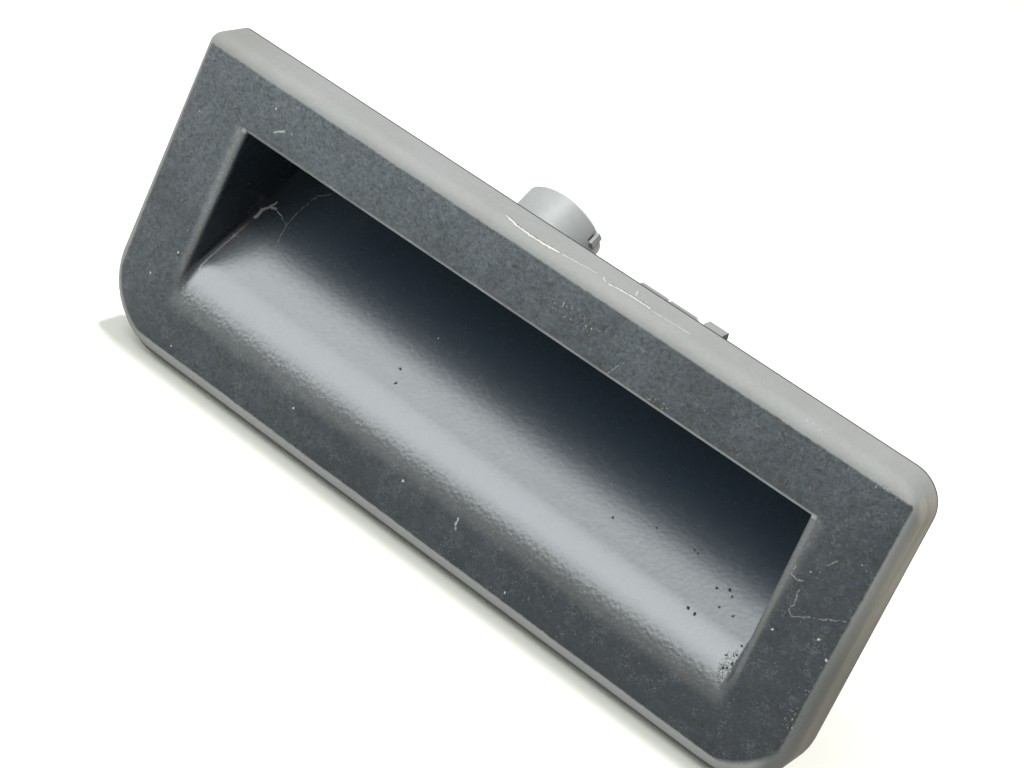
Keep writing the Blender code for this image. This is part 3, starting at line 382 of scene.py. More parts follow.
    def trail(self, points: Trail, width: float, spread: Spread = Spread.SOFT) -> Value:
        """A mark that runs through several points.

        Args:
            points: The points in millimetres.
            width: Width of the mark.
            spread: How its rim fades.

        Returns:
            A socket that is 1 on the mark and 0 away from it.
        """
        legs = zip(points, points[1:])
        return self.most(*(self.streak(start, end, width, spread) for start, end in legs))

    def dots(self, points: Trail, radius: float) -> Socket:
        """Small round marks.

        Args:
            points: Their middles in millimetres.
            radius: Their radius.

        Returns:
            A socket that is 1 on the marks and 0 away from them.
        """
        gaps = [self.vector("DISTANCE", self.ragged(), tuple(point)) for point in points]
        nearest = gaps[0]
        for gap in gaps[1:]:
            nearest = self.math("MINIMUM", nearest, gap)
        rim = Spread.CRISP.value
        return self.band(nearest, radius * (1.0 + rim), radius * (1.0 - rim))

    def patch(self, centre: Point, reach: Point) -> Socket:
        """A soft egg-shaped region.

        Args:
            centre: Its middle in millimetres.
            reach: How far it goes along each axis.

        Returns:
            A socket that is 1 in the middle and 0 outside.
        """
        offset = self.vector("SUBTRACT", self.place(), tuple(centre))
        scaled = self.vector("MULTIPLY", offset, tuple(1.0 / r for r in reach))
        return self.band(self.vector("LENGTH", scaled), 1.0, self.PATCH_CORE)

    def ragged(self) -> Socket:
        """The point on the piece, shifted a little so that marks get uneven rims.

        Returns:
            Its vector socket, in millimetres.
        """
        if self._ragged is None:
            node = self.tree.nodes.new("ShaderNodeTexNoise")
            self.feed(node.inputs["Vector"], self.place())
            self.feed(node.inputs["Scale"], self.RAG_SCALE)
            self.feed(node.inputs["Detail"], self.RAG_DETAIL)
            swing = self.vector("SUBTRACT", node.outputs["Color"], (0.5, 0.5, 0.5))
            shift = self.vector("SCALE", swing, scale=self.RAG_SHIFT)
            self._ragged = self.vector("ADD", self.place(), shift)
        return self._ragged

    def tint(self, colour: Value, share: Value) -> Socket:
        """A colour made lighter or darker by a factor."""
        return self.vector("SCALE", colour, scale=share)

    def finish(self, **values: Value) -> bpy.types.Material:
        """Close the material with a Principled shader.

        Args:
            values: Its inputs by name, with underscores for spaces.

        Returns:
            The finished material.
        """
        shader = self.tree.nodes.new("ShaderNodeBsdfPrincipled")
        for name, value in values.items():
            label = name.replace("_", " ").title().replace("Ior", "IOR")
            self.feed(shader.inputs[label], value)
        output = self.tree.nodes.new("ShaderNodeOutputMaterial")
        self.tree.links.new(shader.outputs[0], output.inputs["Surface"])
        return self.material


@dataclass(frozen=True)
class Wear:
    """Scratches, specks and grit of the bezel, and the painted shadows beside the burrs, in
    millimetres.
    """

    burrs: tuple[Trail, ...] = (
        ((-7.5, -5.4, 25.7), (-5.2, -6.1, 25.5), (-0.5, -6.2, 25.5), (1.9, -5.9, 25.6)),
        ((10.4, -5.6, 25.6), (13.7, -5.0, 25.7), (16.8, -5.0, 25.7)),
    )
    scuffs: tuple[Trail, ...] = (
        ((2.7, -5.8, 25.6), (7.8, -4.9, 25.7)),
        ((8.9, -4.7, 25.7), (9.6, -5.6, 25.6)),
        ((13.4, -2.5, 25.9), (13.9, -3.9, 25.8)),
        ((17.5, -5.2, 25.7), (23.4, -4.8, 25.7)),
        ((-45.5, -7.5, 17.5), (-44.0, -7.5, 18.4)),
        ((6.1, -7.5, -16.3), (6.4, -7.5, -17.9)),
    )
    curls: tuple[Trail, ...] = (
        ((51.4, -7.5, 8.0), (51.6, -7.5, 6.6), (52.4, -7.5, 6.2), (53.2, -7.5, 6.6)),
        (
            (53.4, -7.5, 5.5), (53.8, -7.5, 3.1), (53.5, -7.5, 2.2), (54.2, -7.5, 1.5),
            (60.7, -7.5, 5.4),
        ),
        ((55.0, -7.5, 10.4), (55.8, -7.5, 11.8)),
        ((-47.0, 5.8, 0.8), (-45.2, 5.1, 0.2), (-43.8, 2.2, -2.3)),
        (
            (-45.2, 5.1, 0.2), (-45.5, 6.6, 1.5), (-45.4, 8.6, 3.2), (-45.1, 10.6, 4.9),
            (-43.6, 11.8, 6.0),
        ),
        ((16.3, -7.5, 15.0), (17.3, -7.5, 17.4)),
    )
    webs: tuple[tuple[Trail, float], ...] = (
        (((-49.9, 3.7, -1.0), (-50.1, 5.0, 0.2), (-49.5, 5.9, 0.9), (-48.7, 6.1, 1.1)), 0.4),
        (((-49.5, 5.9, 0.9), (-49.3, 6.9, 1.8)), 0.3),
        (((-48.7, 6.1, 1.1), (-47.0, 5.8, 0.8)), 0.2),
    )
    white_specks: Trail = (
        (-46.7, -7.5, 20.8), (-53.4, -7.5, -7.6), (-56.8, -7.5, -13.3), (-48.6, -7.5, -21.6),
        (53.0, -7.5, -1.6), (58.9, -7.5, 1.0), (-25.1, -7.5, -17.6), (-4.1, -7.5, -16.6),
        (17.5, -7.5, -21.5), (23.4, -4.8, 25.7), (16.6, -5.1, 25.7), (61.1, -7.5, -0.9),
    )
    fine_specks: Trail = (
        (-53.3, -7.5, -3.6), (-58.7, -7.5, 13.8), (-42.6, -7.5, 18.8), (-13.8, 4.5, -0.4),
        (-27.1, 2.8, -1.8), (43.2, -6.5, 25.3), (44.1, -6.5, 25.3), (45.3, -6.7, 25.2),
        (58.8, -7.5, 13.2), (59.7, -7.5, 13.0), (53.5, -7.5, 8.3),
    )
    pits: Trail = (
        (-13.6, -2.9, -6.7), (30.3, 0.9, -3.5), (36.4, 1.3, -3.1), (37.1, 1.1, -3.2),
        (24.5, -1.0, -5.1), (51.0, -5.4, -9.0), (50.7, -5.6, -9.5), (50.4, -6.1, -10.1),
        (50.1, -6.5, -10.9), (50.9, -5.0, -8.4), (42.2, -0.8, -4.9), (43.8, -0.1, -4.3),
        (44.6, -0.6, -4.7), (44.1, -2.4, -6.2), (46.4, -2.3, -6.2), (40.9, -4.4, -8.0),
        (42.2, -4.5, -8.1), (50.1, -5.3, -9.1), (49.0, -5.9, -9.8), (49.9, -4.4, -8.0),
        (49.7, -6.6, -11.2), (53.5, -7.5, -1.3), (-53.1, -7.5, -7.9), (-14.6, -1.2, -5.2),
    )
    grit: tuple[tuple[Point, Point], ...] = (
        ((61.3, -7.3, -11.0), (1.4, 2.0, 3.6)),
        ((61.3, -7.4, -5.9), (0.9, 1.0, 1.2)),
        ((56.6, -7.4, 23.5), (3.2, 1.0, 0.8)),
        ((24.6, -7.4, 15.9), (2.6, 1.0, 0.8)),
        ((8.2, -7.5, 19.6), (7.0, 1.0, 1.4)),
        ((49.9, -6.2, -10.6), (1.2, 2.2, 2.6)),
    )
    burr_width: float = 0.48
    shade_width: float = 0.24
    shade_behind: float = 0.34
    scuff_width: float = 0.3
    curl_width: float = 0.17
    white_radius: float = 0.19
    fine_radius: float = 0.12
    pit_radius: float = 0.22
    sand_size: float = 0.42
    chip_above: Limits = (0.56, 0.62)
    hole_below: Limits = (0.42, 0.36)


@dataclass(frozen=True)
class WeatheredBezel:
    """Charcoal moulded plastic: mottled on the face, faded on the skirt, glossy in the pocket."""

    face: Colour = (0.0045, 0.0085, 0.0135)
    # The face's lighter colour, reached at the painted-lit top left and in the mottle.
    face_painted_light: Colour = (0.039, 0.0465, 0.056)
    skirt: Colour = (0.166, 0.17, 0.165)
    skirt_side: Colour = (0.165, 0.155, 0.13)
    skirt_dirty: Colour = (0.125, 0.124, 0.112)
    pocket: Colour = (0.013, 0.021, 0.03)
    # Lighter pocket colour low on the ramp: thin dust and painted sheen.
    pocket_dust_and_sheen: Colour = (0.028, 0.036, 0.045)
    scuff: Colour = (0.33, 0.33, 0.305)
    fleck: Colour = (0.1, 0.106, 0.11)
    # Dark colour for pits, grit holes and the skirt's back edge, and for painted shadows.
    dirt_and_shade: Colour = (0.012, 0.012, 0.012)
    wear: Wear = Wear()
    opening_half: float = 50.8
    opening_top: float = 14.9
    end_lean: float = 0.055
    half_height: float = 26.0
    half_width: float = 63.25
    side_lean: float = 0.0288
    strip_top: float = 2.3
    strip_bottom: float = 3.1
    strip_right: float = 1.95
    strip_left: float = 1.55
    strip_fade: Limits = (-0.18, 0.22)
    round_edge: Limits = (-7.42, -7.2)
    body_half: Limits = (54.5, 56.5)
    body_top: Limits = (17.0, 19.0)
    body_bottom: Limits = (-18.0, -20.0)
    mouth: Limits = (-7.45, -6.0)
    gloss_bottom: Limits = (-17.0, -14.5)
    gloss_top: Limits = (15.6, 14.8)
    gloss_half: Limits = (52.6, 51.0)
    gap_front: Limits = (-0.45, -0.2)
    gap_back: Limits = (0.3, 0.1)
    # Where the painted shadow line runs along the bottom edge, and its width.
    sole_shadow_drop: float = 24.8
    sole_shadow_width: Limits = (0.5, 0.25)
    lip_outer: Limits = (-53.6, -52.4)
    lip_inner: Limits = (-49.2, -50.2)
    lip_front: Limits = (-5.0, -5.6)
    grain_size: float = 0.32
    peel_size: float = 0.75
    relief_depth: float = 0.06
    mark_depth: float = 0.2

    def material(self) -> bpy.types.Material:
        """The node tree: three zones by place, each with its own wear, and painted highlights,
        sheen and shadows.

        Returns:
            The finished material.
        """
        g = Graph("bezel_plastic")
        x, y, z = g.axes()
        across = g.math("ABSOLUTE", x)
        outside = g.most(
            g.band(across, *self.body_half),
            g.band(z, *self.body_top),
            g.band(z, *self.body_bottom),
        )
        faded = self.faded(g, x, y, z, outside)
        inside = g.times(g.band(y, *self.mouth), g.math("SUBTRACT", 1.0, outside))
        polish = g.times(
            g.band(z, *self.gloss_bottom),
            g.band(z, *self.gloss_top),
            g.band(across, *self.gloss_half),
        )

        colour = g.mix(faded, self.face_colour(g, x, z), self.skirt_colour(g, x, y, z))
        colour = g.mix(inside, colour, self.pocket_colour(g, x, z))
        # Painted highlight along the opening's edge, in the skirt's colour.
        colour = g.mix(self.rim_highlight(g, x, y, z), colour, self.skirt)

        light, dark, raised = self.marks(g)
        colour = g.mix(light, colour, self.scuff)
        gap = g.times(g.band(y, *self.gap_front), g.band(y, *self.gap_back), outside)
        # Painted shadow: a dark line low on the front of the bottom edge, where it meets the floor.
        sole_shadow = g.math("ABSOLUTE", g.math("ADD", z, self.sole_shadow_drop))
        sole_shadow = g.times(g.band(sole_shadow, *self.sole_shadow_width), g.band(y, *self.lip_front))
        # Pits, grit holes, the skirt's back edge, the painted burr shadows and the painted
        # bottom-edge shadow take the dark colour.
        colour = g.mix(g.most(dark, gap, g.times(sole_shadow, 0.75)), colour, self.dirt_and_shade)

        lip = g.times(
            g.band(x, *self.lip_outer), g.band(x, *self.lip_inner), g.band(y, *self.lip_front)
        )
        normal = self.surface(g, faded, inside, lip, raised)
        return g.finish(
            base_color=colour,
            roughness=self.roughness(g, faded, inside, dark),
            normal=normal,
            specular_ior_level=0.45,
            coat_weight=g.times(polish, g.math("SUBTRACT", 1.0, dark)),
            coat_roughness=0.26,
            coat_normal=normal,
        )

    def roughness(self, g: Graph, faded: Value, inside: Value, dark: Value) -> Socket:
        """Satin on the face, matt where faded, glossy in the pocket, dull on pits, grit holes and
        the painted burr shadows.

        Args:
            g: The material's graph.
            faded: 1 on the faded plastic.
            inside: 1 in the pocket.
            dark: 1 on pits, grit holes and the painted shadows beside the burrs.

        Returns:
            The roughness socket.
        """
        rough = g.blend(inside, g.blend(faded, 0.45, 0.8), 0.25)
        uneven = g.math("SUBTRACT", g.noise(1.1, 5.0, 0.65), 0.5)
        rough = g.math("ADD", rough, g.times(uneven, 0.2))
        return g.blend(dark, rough, 0.95)

    def surface(
        self, g: Graph, faded: Value, inside: Value, lip: Value, raised: Value
    ) -> Socket:
        """Worn edges, moulded grain and peel, and the relief of the marks.

        Args:
            g: The material's graph.
            faded: 1 on the faded plastic.
            inside: 1 in the pocket.
            lip: 1 on the softer lip at the left end of the opening.
            raised: How far the marks stand up.

        Returns:
            The normal's socket.
        """
        grain = g.noise(self.grain_size, 3.0, 0.6)
        peel = g.band(g.cells(self.peel_size), 0.0, 0.8)
        normal = g.worn_edge(g.blend(lip, 0.3, 1.5))
        relief = g.blend(inside, g.blend(faded, 1.0, 0.5), 0.14)
        height = g.math("ADD", g.times(grain, 0.5), g.times(peel, 0.5))
        normal = g.bump(g.times(height, relief), self.relief_depth, normal)
        return g.bump(raised, self.mark_depth, normal)

    def faded(self, g: Graph, x: Value, y: Value, z: Value, outside: Value) -> Value:
        """Where the sun has faded the plastic: the rounded edge and a strip of the face beside it.

        Args:
            g: The material's graph.
            x: The point's x in millimetres.
            y: Its depth.
            z: Its height.
            outside: 1 away from the pocket.

        Returns:
            A socket that is 1 on the faded plastic.
        """
        wave = g.math("MULTIPLY", g.math("SUBTRACT", g.noise(16.0, 2.0), 0.5), 0.4)
        fringe = g.math("MULTIPLY", g.math("SUBTRACT", g.noise(0.8, 4.0, 0.6), 0.5), 0.35)
        wave = g.math("ADD", wave, fringe)
        half = g.math("ADD", self.half_width, g.times(z, -self.side_lean))
        over = g.math("SUBTRACT", z, self.half_height - self.strip_top)
        under = g.math("SUBTRACT", g.times(z, -1.0), self.half_height - self.strip_bottom)
        right = g.math("ADD", g.math("SUBTRACT", x, half), self.strip_right)
        left = g.math("ADD", g.math("SUBTRACT", g.times(x, -1.0), half), self.strip_left)
        past = g.math("ADD", g.most(over, under, right, left), wave)
        turn = g.math("ADD", y, g.math("MULTIPLY", wave, 0.2))
        worn = g.most(g.band(past, *self.strip_fade), g.band(turn, *self.round_edge))
        return g.times(worn, outside)

    def face_colour(self, g: Graph, x: Value, z: Value) -> Socket:
        """Mottled charcoal, with painted light making it lighter towards the top left.

        Args:
            g: The material's graph.
            x: The point's x in millimetres.
            z: Its height.

        Returns:
            The colour's socket.
        """
        # Painted light: lighter towards the top and the left, over a broad random mottle.
        mottle_and_painted_light = g.math("ADD", g.math("MULTIPLY", z, 0.0115), g.math("MULTIPLY", x, -0.0036))
        mottle_and_painted_light = g.math("ADD", mottle_and_painted_light, g.times(g.math("SUBTRACT", g.noise(11.0, 5.0, 0.6), 0.5), 1.1))
        mottle_and_painted_light = g.band(mottle_and_painted_light, -0.42, 0.72)
        colour = g.mix(mottle_and_painted_light, self.face, self.face_painted_light)
        hue = g.band(g.noise(5.0, 3.0), 0.4, 0.6)
        colour = g.mix(g.times(hue, 0.25), colour, g.vector("MULTIPLY", colour, (0.85, 1.12, 0.98)))
        fine = g.noise(0.75, 5.0, 0.75, twist=1.2)
        colour = g.tint(colour, g.most(g.math("ADD", -1.6, g.times(fine, 5.2)), 0.12))
        vein = g.math("ABSOLUTE", g.math("SUBTRACT", g.noise(1.7, 3.0, 0.6, twist=2.0), 0.5))
        scratch = g.times(g.band(vein, 0.03, 0.005), g.band(g.noise(2.6, 3.0), 0.47, 0.6))
        speck = g.times(g.band(g.cells(0.8), 0.22, 0.05), g.band(g.noise(4.0, 3.0), 0.4, 0.6))
        return g.mix(g.most(g.times(scratch, 0.35), g.times(speck, 0.6)), colour, self.fleck)

    def skirt_colour(self, g: Graph, x: Value, y: Value, z: Value) -> Socket:
        """Faded grey that turns brown and streaky on the right side.

        Args:
            g: The material's graph.
            x: The point's x in millimetres.
            y: Its depth.
            z: Its height.

        Returns:
            The colour's socket.
        """
        cloud = g.band(g.noise(7.0, 5.0, 0.6), 0.35, 0.75)
        top = g.mix(g.times(cloud, 0.28), self.skirt, self.skirt_dirty)
        corner = g.band(x, -46.0, -60.0)
        top = g.mix(g.times(corner, 0.55), top, self.skirt_dirty)
        lines = g.noise(1.1, 4.0, 0.6, (6.0, 1.0, 14.0))
        side = g.tint(self.skirt_side, g.math("ADD", 0.55, lines))
        side = g.mix(g.band(y, -5.8, -7.2), side, g.tint(self.skirt, 0.68))
        side = g.tint(side, g.blend(g.band(z, 14.0, -6.0), 1.15, 0.66))
        beside = g.times(g.band(x, 59.5, 61.6), g.band(z, 25.4, 23.6))
        colour = g.mix(beside, top, side)
        return g.tint(colour, g.math("ADD", 0.9, g.times(g.noise(0.5, 4.0, 0.6), 0.2)))

    def pocket_colour(self, g: Graph, x: Value, z: Value) -> Socket:
        """Near black, lighter low on the ramp with thin dust and painted sheen, and darkened on the
        left end wall as painted shade.

        Args:
            g: The material's graph.
            x: The point's x in millimetres.
            z: Its height.

        Returns:
            The colour's socket.
        """
        # Lighter low on the ramp: thin dust and painted sheen.
        dust = g.math("SUBTRACT", z, g.math("MULTIPLY", g.noise(6.0, 4.0), 6.0))
        colour = g.mix(g.band(dust, 2.0, -14.0), self.pocket, self.pocket_dust_and_sheen)
        # Painted shade: the left end wall is darkened.
        return g.tint(colour, g.blend(g.band(x, -49.6, -50.5), 1.0, 0.35))

    def rim_highlight(self, g: Graph, x: Value, y: Value, z: Value) -> Value:
        """A painted highlight line along the rubbed edge at the top and the ends of the opening.

        Args:
            g: The material's graph.
            x: The point's x in millimetres.
            y: Its depth.
            z: Its height.

        Returns:
            How much of the painted highlight's light colour shows.
        """
        front = g.band(y, -6.3, -6.8)
        lean = g.times(g.math("SUBTRACT", z, self.opening_top), -self.end_lean)
        right = g.math("SUBTRACT", g.math("SUBTRACT", x, lean), self.opening_half - 0.3)
        right = g.band(g.math("ABSOLUTE", right), 0.5, 0.15)
        right = g.times(right, g.band(z, -13.5, -9.0), g.band(z, 15.2, 14.4), 0.2)
        left = g.math("SUBTRACT", g.times(x, -1.0), lean)
        left = g.math("SUBTRACT", left, self.opening_half + 0.1)
        left = g.band(g.math("ABSOLUTE", left), 0.9, 0.1)
        left = g.times(left, g.band(z, -14.0, -8.0), g.band(z, 15.4, 14.6), 0.13)
        # Noise breaks up the painted highlight along the top edge.
        broken_highlight = g.blend(g.band(g.noise(2.2, 5.0, 0.7, (4.0, 1.0, 1.0)), 0.3, 0.6), 0.4, 0.95)
        top = g.band(g.math("ABSOLUTE", g.math("SUBTRACT", z, self.opening_top + 0.2)), 0.45, 0.2)
        top = g.times(top, g.band(g.math("ABSOLUTE", x), 50.9, 50.5), broken_highlight)
        return g.times(front, g.most(right, left, top))

    def marks(self, g: Graph) -> tuple[Value, Value, Value]:
        """Scratches, specks, grit, and the painted shadows beside the burrs.

        Args:
            g: The material's graph.

        Returns:
            How strongly a point is scuffed light, how dark it is from pits, grit holes and painted
            burr shadows, and how far it is raised.
        """
        wear = self.wear
        behind = [
            tuple((x, y + wear.shade_behind, z) for x, y, z in points) for points in wear.burrs
        ]
        burr = g.most(*(g.trail(points, wear.burr_width, Spread.CRISP) for points in wear.burrs))
        # Painted shadow: a soft dark line just behind each raised burr.
        shade = g.most(*(g.trail(points, wear.shade_width) for points in behind))
        scuff = g.most(*(g.trail(points, wear.scuff_width) for points in wear.scuffs))
        curl = g.most(*(g.trail(points, wear.curl_width) for points in wear.curls))
        web = g.most(*(g.trail(points, width) for points, width in wear.webs))
        white = g.dots(wear.white_specks, wear.white_radius)
        fine = g.dots(wear.fine_specks, wear.fine_radius)
        pit = g.dots(wear.pits, wear.pit_radius)
        region = g.most(*(g.patch(*place) for place in wear.grit))
        sand = g.noise(wear.sand_size, 3.0, 0.7)
        chip = g.times(region, g.band(sand, *wear.chip_above))
        hole = g.times(region, g.band(sand, *wear.hole_below))
        light = g.most(burr, g.times(scuff, 0.6), g.times(curl, 0.28), g.times(white, 0.8))
        light = g.most(light, g.times(fine, 0.5), g.times(chip, 0.55), g.times(web, 0.9))
        dark = g.most(pit, g.times(hole, 0.9), g.times(shade, 0.45))
        raised = g.most(burr, white, chip, g.times(scuff, 0.4))
        return light, dark, raised


@dataclass(frozen=True)
class MouldedPlastic:
    """A plain moulded plastic with grain, dust and lighter edges."""

    name: str
    colour: Colour
    dust: Colour
    roughness: float = 0.5
    grain: float = 0.45
    depth: float = 0.02
    edge: float = 0.25

    def material(self) -> bpy.types.Material:
        """The node tree: broad dust over a fine grain.

        Returns:
            The finished material.
        """
        g = Graph(self.name)
        cloud = g.band(g.noise(4.0, 5.0, 0.6), 0.42, 0.7)
        colour = g.mix(g.times(cloud, 0.6), self.colour, self.dust)
        fine = g.noise(self.grain, 3.0, 0.6)
        rough = g.math("ADD", self.roughness, g.times(g.math("SUBTRACT", fine, 0.5), 0.2))
        normal = g.bump(fine, self.depth, g.worn_edge(self.edge))
        return g.finish(base_color=colour, roughness=rough, normal=normal)


@dataclass(frozen=True)
class Metal:
    """A drawn, stamped or plated metal with fine lines and dull patches."""

    name: str
    colour: Colour
    dull: Colour
    roughness: float = 0.3
    lines: Point = (1.0, 1.0, 1.0)
    dulling: float = 0.25
    line_depth: float = 0.006
    edge: float = 0.12

    def material(self) -> bpy.types.Material:
        """The node tree: dull patches and fine lines on a metallic base.

        Returns:
            The finished material.
        """
        g = Graph(self.name)
        patch = g.band(g.noise(1.8, 5.0, 0.65), 0.5, 0.75)
        line = g.noise(0.12, 2.0, 0.5, self.lines)
        colour = g.mix(patch, self.colour, self.dull)
        rough = g.blend(patch, self.roughness, self.roughness + self.dulling)
        rough = g.math("ADD", rough, g.times(line, 0.12))
        normal = g.bump(line, self.line_depth, g.worn_edge(self.edge))
        return g.finish(base_color=colour, roughness=rough, metallic=1.0, normal=normal)


@dataclass(frozen=True)
class Rubber:
    """Matt rubber, silicone or foam with a bloom and an open or closed surface."""

    name: str
    colour: Colour
    bloom: Colour
    pore: float = 0.5
    depth: float = 0.03
    roughness: float = 0.8

    def material(self) -> bpy.types.Material:
        """The node tree: a pale bloom over pores.

        Returns:
            The finished material.
        """
        g = Graph(self.name)
        cloud = g.band(g.noise(2.5, 4.0, 0.6), 0.45, 0.75)
        colour = g.mix(g.times(cloud, 0.5), self.colour, self.bloom)
        normal = g.bump(g.band(g.cells(self.pore), 0.1, 0.7), self.depth)
        return g.finish(base_color=colour, roughness=self.roughness, normal=normal)


class Dresser:
    """Gives CAD nodes their finish."""

    WELD = 0.000002

    @staticmethod
    def dress(names: tuple[str, ...], material: bpy.types.Material) -> None:
        """Put one material in every slot of some CAD nodes.

        Args:
            names: The nodes.
            material: The finish.
        """
        for name in names:
            item = frame["nodes"][name]
            if not item.material_slots:
                item.data.materials.append(material)
            for slot in item.material_slots:
                slot.material = material
            LOG.info("dressed %s with %s", name, material.name)

    @staticmethod
    def smooth_copy(
        name: str, label: str, slot: str, material: bpy.types.Material, angle: float = 32.0
    ) -> bpy.types.Object:
        """Stand a merged, smoothly shaded copy in for a CAD node.

        Args:
            name: The CAD node.
            label: The new piece's name.
            slot: The record's material slot; not used.
            material: Its finish.
            angle: Edges sharper than this many degrees stay sharp.

        Returns:
            The new piece.
        """
        source = frame["nodes"][name]
        body = source["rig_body"]
        bpy.ops.object.select_all(action="DESELECT")
        piece = bpy.data.objects.new(label, source.data.copy())
        bpy.context.scene.collection.objects.link(piece)
        piece.select_set(True)
        bpy.context.view_layer.objects.active = piece
        bpy.ops.object.mode_set(mode="EDIT")
        bpy.ops.mesh.select_all(action="SELECT")
        bpy.ops.mesh.remove_doubles(threshold=Dresser.WELD)
        bpy.ops.mesh.select_all(action="DESELECT")
        bpy.ops.object.mode_set(mode="OBJECT")
        if piece.data.has_custom_normals:
            bpy.ops.mesh.customdata_custom_splitnormals_clear()
        bpy.ops.object.shade_smooth_by_angle(angle=math.radians(angle))
        piece.data.materials.clear()
        piece.data.materials.append(material)
        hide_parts(name)
        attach(piece, body)
        LOG.info("stood %s in for %s", label, name)
        return piece


@dataclass
class Housing(Dresser):
    """The bezel with its pocket, and the foam seal behind its rim."""

    finish: WeatheredBezel = field(default_factory=WeatheredBezel)
    seal: Rubber = Rubber("foam_strip", (0.02, 0.02, 0.021), (0.05, 0.05, 0.05), 0.7, 0.06, 0.95)
    back: MouldedPlastic = MouldedPlastic(
        "back_plastic", (0.017, 0.019, 0.021), (0.05, 0.051, 0.05), 0.42, 0.4, 0.012
    )
    hook_root: float = 20.8
    stand_off: float = 0.2
    look_out: Trail = (
        (0.0, -1.0, 0.0), (0.0, -0.8, -0.6), (0.5, -0.85, -0.1), (-0.5, -0.85, -0.1),
    )

    def build(self) -> None:
        """Make the smooth copy of the housing and dress it and the seal."""
        shell = self.smooth_copy("handle_housing", "bezel_shell", "bezel", self.finish.material())
        shell.data.materials.append(self.back.material())
        self.split_back(shell)
        self.dress(("panel_seal",), self.seal.material())

    def split_back(self, shell: bpy.types.Object) -> None:
        """Give what can't be seen from the front the plain moulded finish.

        Args:
            shell: The bezel shell, with the front finish first and the back finish second.
        """
        corners = [vertex.co for vertex in shell.data.vertices]
        tree = BVHTree.FromPolygons(corners, [face.vertices for face in shell.data.polygons])
        for face in shell.data.polygons:
            start = face.center + face.normal * self.stand_off * MM
            seen = any(tree.ray_cast(start, Vector(way))[0] is None for way in self.look_out)
            seen = seen or face.center.z > self.hook_root * MM
            face.material_index = 0 if seen else 1


@dataclass
class ReleasePaddle(Dresser):
    """The paddle, its pad, the hinge pins, the return springs and the rest buffers."""

    plastic: MouldedPlastic = MouldedPlastic(
        "paddle_plastic", (0.022, 0.024, 0.027), (0.06, 0.06, 0.06), 0.45
    )
    pad: Rubber = Rubber("paddle_rubber", (0.014, 0.014, 0.015), (0.04, 0.04, 0.04), 0.4, 0.02)
    pins: Metal = Metal(
        "hinge_pin_steel", (0.52, 0.52, 0.53), (0.3, 0.29, 0.27), 0.28, (12.0, 1.0, 1.0)
    )
    springs: Metal = Metal("spring_steel", (0.42, 0.42, 0.43), (0.2, 0.19, 0.18), 0.3)
    buffers: Rubber = Rubber(
        "buffer_rubber", (0.012, 0.012, 0.013), (0.035, 0.035, 0.035), 0.3, 0.02
    )
    coil_angle: float = 50.0

    def build(self) -> None:
        """Dress the paddle's pieces, with smooth copies of the lever, pins and springs."""
        self.smooth_copy("release_paddle", "paddle_lever", "bezel", self.plastic.material())
        self.dress(("paddle_pad",), self.pad.material())
        steel = self.pins.material()
        for side in ("left", "right"):
            self.smooth_copy(f"hinge_pin_{side}", f"pivot_{side}", "pin_steel", steel)
        wire = self.springs.material()
        for side in ("left", "right"):
            coil = f"coil_{side}"
            self.smooth_copy(f"return_spring_{side}", coil, "spring_steel", wire, self.coil_angle)
        self.dress(("stop_buffer_left", "stop_buffer_right"), self.buffers.material())


@dataclass
class SwitchModule(Dresser):
    """The grey box behind the pocket: shroud, lid, seal, microswitch, terminals and screws."""

    body: MouldedPlastic = MouldedPlastic(
        "module_plastic", (0.215, 0.224, 0.22), (0.26, 0.26, 0.248), 0.42
    )
    lid: MouldedPlastic = MouldedPlastic(
        "lid_plastic", (0.24, 0.25, 0.245), (0.31, 0.31, 0.29), 0.45
    )
    gasket: Rubber = Rubber("lid_gasket", (0.20, 0.045, 0.025), (0.27, 0.12, 0.09), 0.4, 0.015, 0.6)
    boot: Rubber = Rubber("boot_silicone", (0.22, 0.055, 0.03), (0.3, 0.14, 0.1), 0.4, 0.015, 0.55)
    boot_travel: float = 0.62
    case: MouldedPlastic = MouldedPlastic(
        "switch_black", (0.018, 0.018, 0.02), (0.05, 0.05, 0.05), 0.35
    )
    plunger: MouldedPlastic = MouldedPlastic(
        "plunger_nylon", (0.72, 0.70, 0.64), (0.6, 0.57, 0.5), 0.4
    )
    brass: Metal = Metal(
        "contact_brass", (0.75, 0.56, 0.24), (0.42, 0.29, 0.14), 0.25, (1.0, 1.0, 10.0)
    )
    screws: Metal = Metal("screw_steel", (0.55, 0.54, 0.5), (0.33, 0.31, 0.27), 0.32)

    def build(self) -> None:
        """Dress the module's pieces."""
        self.smooth_copy("module_housing", "module_shell", "module_grey", self.body.material())
        self.smooth_copy("module_lid", "module_cap", "module_grey", self.lid.material())
        self.dress(("lid_seal",), self.gasket.material())
        dome = self.smooth_copy("switch_boot", "boot_dome", "silicone", self.boot.material())
        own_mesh(dome)
        self.dress(("switch_case", "switch_cover"), self.case.material())
        self.smooth_copy("switch_plunger", "plunger_rod", "nylon", self.plunger.material())
        self.dress(("switch_blade", "terminal_signal", "terminal_common"), self.brass.material())
        zinc = self.screws.material()
        for side in ("left", "right"):
            self.smooth_copy(f"module_screw_{side}", f"lid_screw_{side}", "screw_steel", zinc)


@dataclass
class PanelClips(Dresser):
    """The folded steel clips that hold the handle in the panel."""

    steel: Metal = Metal(
        "clip_steel", (0.47, 0.47, 0.46), (0.27, 0.24, 0.2), 0.3, (1.0, 8.0, 1.0)
    )

    def build(self) -> None:
        """Dress the three clips."""
        names = ("retaining_clip_top", "retaining_clip_bottom_left", "retaining_clip_bottom_right")
        self.dress(names, self.steel.material())


